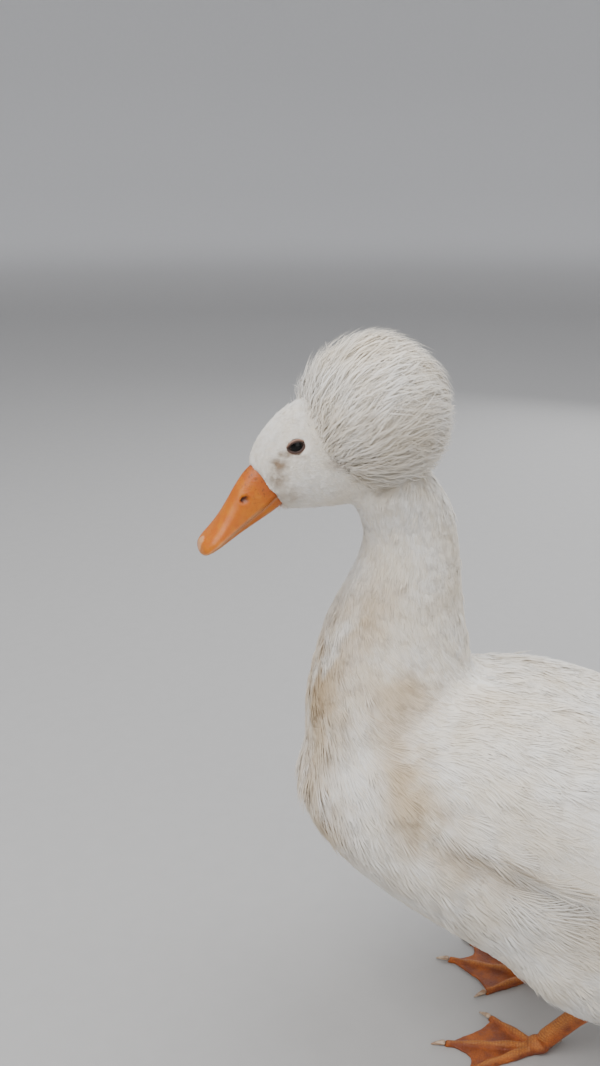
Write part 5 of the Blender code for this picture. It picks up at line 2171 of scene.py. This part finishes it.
@dataclass
class Eyes:
    """Eyes as deep in the head as real ones, and the rims of their lids, in millimetres."""

    MIDDLE = (-1.3, 12.9, -1.8)
    radius: float = 6.8
    opening: tuple = (4.15, 3.0)
    rim: float = 0.55
    ball_rows: int = 32
    ball_ring: int = 48
    lid_steps: int = 72
    lid_ring: int = 14

    def frame_of(self, side: Side) -> tuple:
        """Middle and axes of one eye.

        Args:
            side: Which eye.

        Returns:
            Its middle, and the directions forward, up and out.
        """
        forward, left, up = self.MIDDLE
        middle = Layout.head_point(forward, side.value * left, up)
        out = unit(Layout.SKULL * 0.16 + Layout.HEAD_LEFT * side.value + Layout.HEAD_UP * 0.06)
        ahead = unit(Layout.SKULL - out * (Layout.SKULL @ out))
        return middle, ahead, np.cross(out, ahead) * side.value, out

    def hollow(self, points: Array, side: Side) -> Array:
        """Move the skin behind the opening of the lids into the eyeball.

        Args:
            points: Places of the skin.
            side: Which eye.

        Returns:
            The moved places.
        """
        middle, ahead, up, out = self.frame_of(side)
        away = points - middle
        x, y, z = away @ ahead / MM, away @ up / MM, away @ out / MM
        wide, tall = (size + 1.6 * self.rim for size in self.opening)
        inside = smoothstep(1.12, 0.92, np.sqrt((x / wide) ** 2 + (y / tall) ** 2)) * (z > 0)
        deep = np.sqrt(np.maximum((self.radius - 0.8) ** 2 - x * x - y * y, 0.25))
        return points - np.outer(np.maximum(z - deep, 0) * inside * MM, out)

    def ball(self, side: Side, material: Material) -> Object:
        """Eyeball with the distance from the pupil's middle stored on it.

        Args:
            side: Which eye.
            material: Its finish.

        Returns:
            The piece.
        """
        middle, ahead, up, out = self.frame_of(side)
        a = np.repeat(pi * np.arange(self.ball_rows + 1) / self.ball_rows, self.ball_ring)
        b = np.tile(TURN * np.arange(self.ball_ring) / self.ball_ring, self.ball_rows + 1)
        local = np.stack([np.sin(a) * np.cos(b), np.sin(a) * np.sin(b), np.cos(a)], axis=1)
        points = middle + local @ np.stack([ahead, up, out]) * self.radius * MM
        faces = ring_faces(self.ball_rows + 1, self.ball_ring)
        away = a / (pi / 2) * 1.25
        return closed_piece("eyeball_" + side.word, points, faces, material, True, away=away)

    def lids(self, side: Side, material: Material) -> Object:
        """Rim of both lids, a swollen ring that lies on the eyeball.

        Args:
            side: Which eye.
            material: Its finish.

        Returns:
            The piece.
        """
        middle, ahead, up, out = self.frame_of(side)
        b = TURN * np.arange(self.lid_ring) / self.lid_ring
        points = []
        for a in TURN * np.arange(self.lid_steps) / self.lid_steps:
            pinch = 1 + 0.22 * max(cos(a), 0) ** 6 + 0.12 * max(-cos(a), 0) ** 6
            x = self.opening[0] * cos(a) * pinch
            y = self.opening[1] * sin(a) * (1.0 if sin(a) > 0 else 0.92)
            z = sqrt(max((self.radius + 0.15) ** 2 - x * x - y * y, 1.0))
            away = unit(np.array([x, y, 0.0]))
            normal = unit(np.array([x, y, z]))
            aside = unit(away - normal * (away @ normal))
            thick = self.rim * (1.0 + 0.35 * sin(a))
            wide = self.rim * 1.9
            section = np.outer(wide * (0.62 + np.cos(b)), aside) + np.outer(thick * np.sin(b), normal)
            points.append(middle + (np.array([x, y, z]) + section) @ np.stack([ahead, up, out]) * MM)
        faces = ring_faces(self.lid_steps, self.lid_ring, True)
        outer = np.tile(0.5 + 0.5 * np.cos(b), self.lid_steps)
        return closed_piece("lids_" + side.word, np.concatenate(points), faces, material, outer=outer)


@dataclass
class Legs:
    """Scaled shanks and webbed feet, one skin for each leg, and the claws."""

    voxel: float = 0.00065
    inflate: float = 0.00022
    rounds: int = 8
    scute: float = 0.0019
    scute_height: float = 0.00022
    wrinkle_height: float = 0.00016
    shank_from: float = 0.040
    foot_to: float = 0.0125
    into_thigh: float = 0.012
    claws: tuple = ("inner", "middle", "outer", "hind")

    def leg(self, side: Side, material: Material) -> Object:
        """Shank and foot of one side as one skin, with the shank's top drawn into the thigh.

        Args:
            side: Which leg.
            material: Its finish.

        Returns:
            The piece.
        """
        shapes = [merged_node(part + side.word, self.inflate) for part in ("shank_", "foot_")]
        for shape in shapes:
            for v in shape.verts:
                if v.co.z > self.shank_from:
                    v.co += Vector((side.value * 0.134, 0.554, 0.822)) * self.into_thigh
        made = voxel_skin("leg_" + side.word, shapes, self.voxel)
        relax(made.data, self.rounds, np.ones(len(made.data.vertices)))
        self.scales(made)
        dress(made, material)
        made.data.shade_smooth()
        return made

    def scales(self, made: Object) -> None:
        """Raise scutes over the toes and the front of the shank, and keep the sole on the floor.

        Args:
            made: The leg.
        """
        points = vertex_array(made.data)
        normals = vertex_normals(made.data)
        y, z = points[:, 1], points[:, 2]
        floor = max(z.min(), 0.0)
        low = z < self.foot_to
        toe = smoothstep(0.0028, 0.0046, z) * low
        steps = np.where(low, -y, z * 1.1)
        wave = np.abs(((steps / self.scute) % 1.0) - 0.5) * 2
        ridge = np.where(low, toe * np.clip(normals[:, 2], 0, 1), smoothstep(0.0, -0.6, normals[:, 1]))
        wrinkle = self.wrinkle_height * lattice_noise(points, 0.0022, 71) * np.where(low, 1 - toe, 0.4)
        height = (1 - wave ** 3) * self.scute_height * ridge + wrinkle
        moved = points + normals * height[:, None]
        moved[:, 2] = np.maximum(moved[:, 2], floor)
        set_vertices(made.data, moved)
        point_attribute(made.data, "ridge", np.clip(ridge * (0.4 + 0.6 * (1 - wave)), 0, 1))

    def claw(self, node: str, material: Material) -> Object:
        """Smooth copy of a claw node.

        Args:
            node: Name of the node.
            material: Its finish.

        Returns:
            The piece.
        """
        shaped = merged_node(node)
        face, shape = radians(40), radians(60)
        bmesh.ops.join_triangles(
            shaped, faces=shaped.faces, angle_face_threshold=face, angle_shape_threshold=shape
        )
        made = make_object("horn_" + node, mesh_of(shaped, "horn_" + node))
        change = made.modifiers.new("smooth", "SUBSURF")
        change.levels = 2
        change.render_levels = 2
        settle(made)
        made.data.shade_smooth()
        dress(made, material)
        return made


@dataclass(frozen=True)
class Lamp:
    """A square soft light: its place and target, side in metres, watts and colour."""

    name: str
    place: tuple
    target: tuple
    size: float
    power: float
    colour: tuple

    def build(self) -> None:
        """Hang the light."""
        lamp = bpy.data.lights.new(self.name, "AREA")
        lamp.size = self.size
        lamp.energy = self.power
        lamp.color = self.colour
        aim(self.name, lamp, Vector(self.place), Vector(self.target) - Vector(self.place))


@dataclass
class Studio:
    """Pale floor, soft lights and the camera."""

    sensor: float = 36.0
    lens: float = 1143.0 / 1066.0 * 36.0
    eye: tuple = (0.6776, 0.1133, 0.5453)
    heading: float = radians(9.6)
    pitch: float = radians(17.0)
    floor_steps: int = 96
    # Radius and height of each ring
    floor_rings: tuple = (
        (2.0, 0.0), (4.4, 0.0), (5.2, 0.12), (5.8, 0.5), (6.1, 1.1), (6.2, 2.2), (6.2, 5.5),
    )
    # Two tones each of the floor and of the backdrop; the backdrop is painted lighter, as painted light, to
    # make up for the light that it lacks
    near: tuple = ((0.41, 0.405, 0.40, 1.0), (0.44, 0.435, 0.43, 1.0))
    far: tuple = ((0.68, 0.68, 0.685, 1.0), (0.71, 0.71, 0.715, 1.0))
    surround: tuple = (0.72, 0.73, 0.76, 1.0)
    surround_strength: float = 1.1
    lamps: tuple = (
        Lamp("key", (1.1, -0.9, 1.9), (0.0, -0.05, 0.2), 1.6, 40.0, (1.0, 0.985, 0.96)),
        Lamp("top", (-0.5, 0.6, 2.2), (0.0, 0.0, 0.2), 1.8, 26.0, (0.96, 0.98, 1.0)),
        Lamp("fill", (1.9, 1.3, 0.9), (0.0, 0.0, 0.2), 1.6, 10.0, (1.0, 0.98, 0.96)),
        Lamp("back", (-1.8, 0.6, 1.0), (0.0, 0.0, 0.2), 1.6, 14.0, (0.98, 0.99, 1.0)),
    )

    def floor(self) -> None:
        """Plain pale floor that curves up into a round backdrop far from the duck; the backdrop is painted
        lighter as painted light, since less light reaches it.
        """
        steps = self.floor_steps
        a = TURN * np.arange(steps) / steps
        circle = np.stack([np.cos(a), np.sin(a), np.zeros(steps)], axis=1)
        rings = [circle * r + Layout.UP * z for r, z in self.floor_rings]
        faces = [(0, 1 + k, 1 + (k + 1) % steps) for k in range(steps)]
        faces += [tuple(1 + i for i in face[::-1]) for face in ring_faces(len(rings), steps)]
        made = mesh_object("floor", np.concatenate([np.zeros((1, 3)), *rings]), faces)
        shader = Shader("pale_floor")
        grain = shader.noise(60.0, 4.0)
        height = shader.node("SeparateXYZ", None, Vector=shader.place).outputs["Z"]
        near, far = shader.mix(grain, *self.near), shader.mix(grain, *self.far)
        # Painted light: lighter up the backdrop
        dress(made, shader.finish(shader.mix(shader.ramp(height, 0.0, 0.3), near, far), 0.8))

    def lights(self) -> None:
        """Soft light from above and the camera's side, and a grey surround."""
        for lamp in self.lamps:
            lamp.build()
        world = bpy.data.worlds.new("surround")
        world.use_nodes = True
        background = world.node_tree.nodes["Background"]
        background.inputs["Color"].default_value = self.surround
        background.inputs["Strength"].default_value = self.surround_strength
        bpy.context.scene.world = world

    def camera(self) -> None:
        """Camera at the photograph's place, angle and framing."""
        data = bpy.data.cameras.new("camera")
        data.sensor_fit = "AUTO"
        data.sensor_width = self.sensor
        data.lens = self.lens
        look = Vector((-cos(self.heading), -sin(self.heading), -tan(self.pitch)))
        place = Vector((self.eye[0], self.eye[1] + Layout.SHIFT, self.eye[2]))
        bpy.context.scene.camera = aim("camera", data, place, look)

    def build(self) -> None:
        """Build floor, lights and camera."""
        self.floor()
        self.lights()
        self.camera()


def tuft_collection(name: str, count: int, first: int, **sizes: float) -> Pool:
    """Collection of tuft shapes, outside the scene.

    Args:
        name: Its name.
        count: How many shapes.
        first: Seed of the first.
        **sizes: Fields of every shape.

    Returns:
        The collection.
    """
    made = bpy.data.collections.new(name)
    for i in range(count):
        made.objects.link(TuftShape(seed=first + i, **sizes).build(f"{name}_{i}"))
    return made


def build_plumage() -> None:
    """Build skin, coat, wings, tail and crest."""
    plumage = Plumage()
    feathers, vanes, down = plumage.on_feathers(), plumage.on_vanes(), plumage.on_skin()
    skin = Skin(down).build()
    places = [Vector(p) for p in vertex_array(skin.data)]
    tree = BVHTree.FromPolygons(places, [tuple(p.vertices) for p in skin.data.polygons])
    seat(skin, Slot.PLUMAGE, "torso", "neck", "head", "thigh_left", "thigh_right")
    on_body = tuft_collection("body_tufts", 5, 0)
    on_face = tuft_collection("face_tufts", 4, 20, barbs=4, rings=1, width=0.16, spread=0.5, rise=0.2)
    curled = tuft_collection("wisp_tufts", 4, 40, barbs=9, rings=3, width=0.028, spread=0.3, rise=0.16)
    coat = Coat(Scatter(), feathers, on_body, on_face, share=1.0)
    for piece in coat.build(skin):
        seat(piece, Slot.PLUMAGE)
    for side in Side:
        wing = Wing(side)
        seat(wing.build(tree, vanes), Slot.PLUMAGE, "wing_" + side.word)
        seat(coat.wisps(wing, tree, curled), Slot.PLUMAGE)
    seat(Tail().build(vanes), Slot.PLUMAGE, "tail")
    ball, *locks = Crest(density=1.0).build(feathers, down, tree)
    seat(ball, Slot.PLUMAGE, "crest")
    for piece in locks:
        seat(piece, Slot.PLUMAGE)
    for pool in (on_body, on_face, curled):
        for made in list(pool.objects):
            bpy.data.objects.remove(made)
        bpy.data.collections.remove(pool)


def build_bare_parts() -> None:
    """Build bill, eyes, lids, legs and claws."""
    top, bottom = Bill().build(BillHorn().material())
    seat(top, Slot.BILL, "bill_upper")
    seat(bottom, Slot.BILL, "bill_lower")
    eyes, legs = Eyes(), Legs()
    glass, rim = EyeGlass().material(), LidSkin().material()
    leg_skin, horn = LegSkin().material(), ClawHorn().material()
    for side in Side:
        seat(eyes.ball(side, glass), Slot.EYE, "eye_" + side.word)
        seat(eyes.lids(side, rim), Slot.BILL)
        seat(legs.leg(side, leg_skin), Slot.LEG, "shank_" + side.word, "foot_" + side.word)
        for toe in legs.claws:
            node = f"claw_{toe}_{side.word}"
            seat(legs.claw(node, horn), Slot.CLAW, node)


def main() -> None:
    """Build the duck piece by piece, then the studio."""
    logging.basicConfig(level=logging.INFO, format="%(message)s")
    build_plumage()
    build_bare_parts()
    Studio().build()


if __name__ == "__main__":
    main()
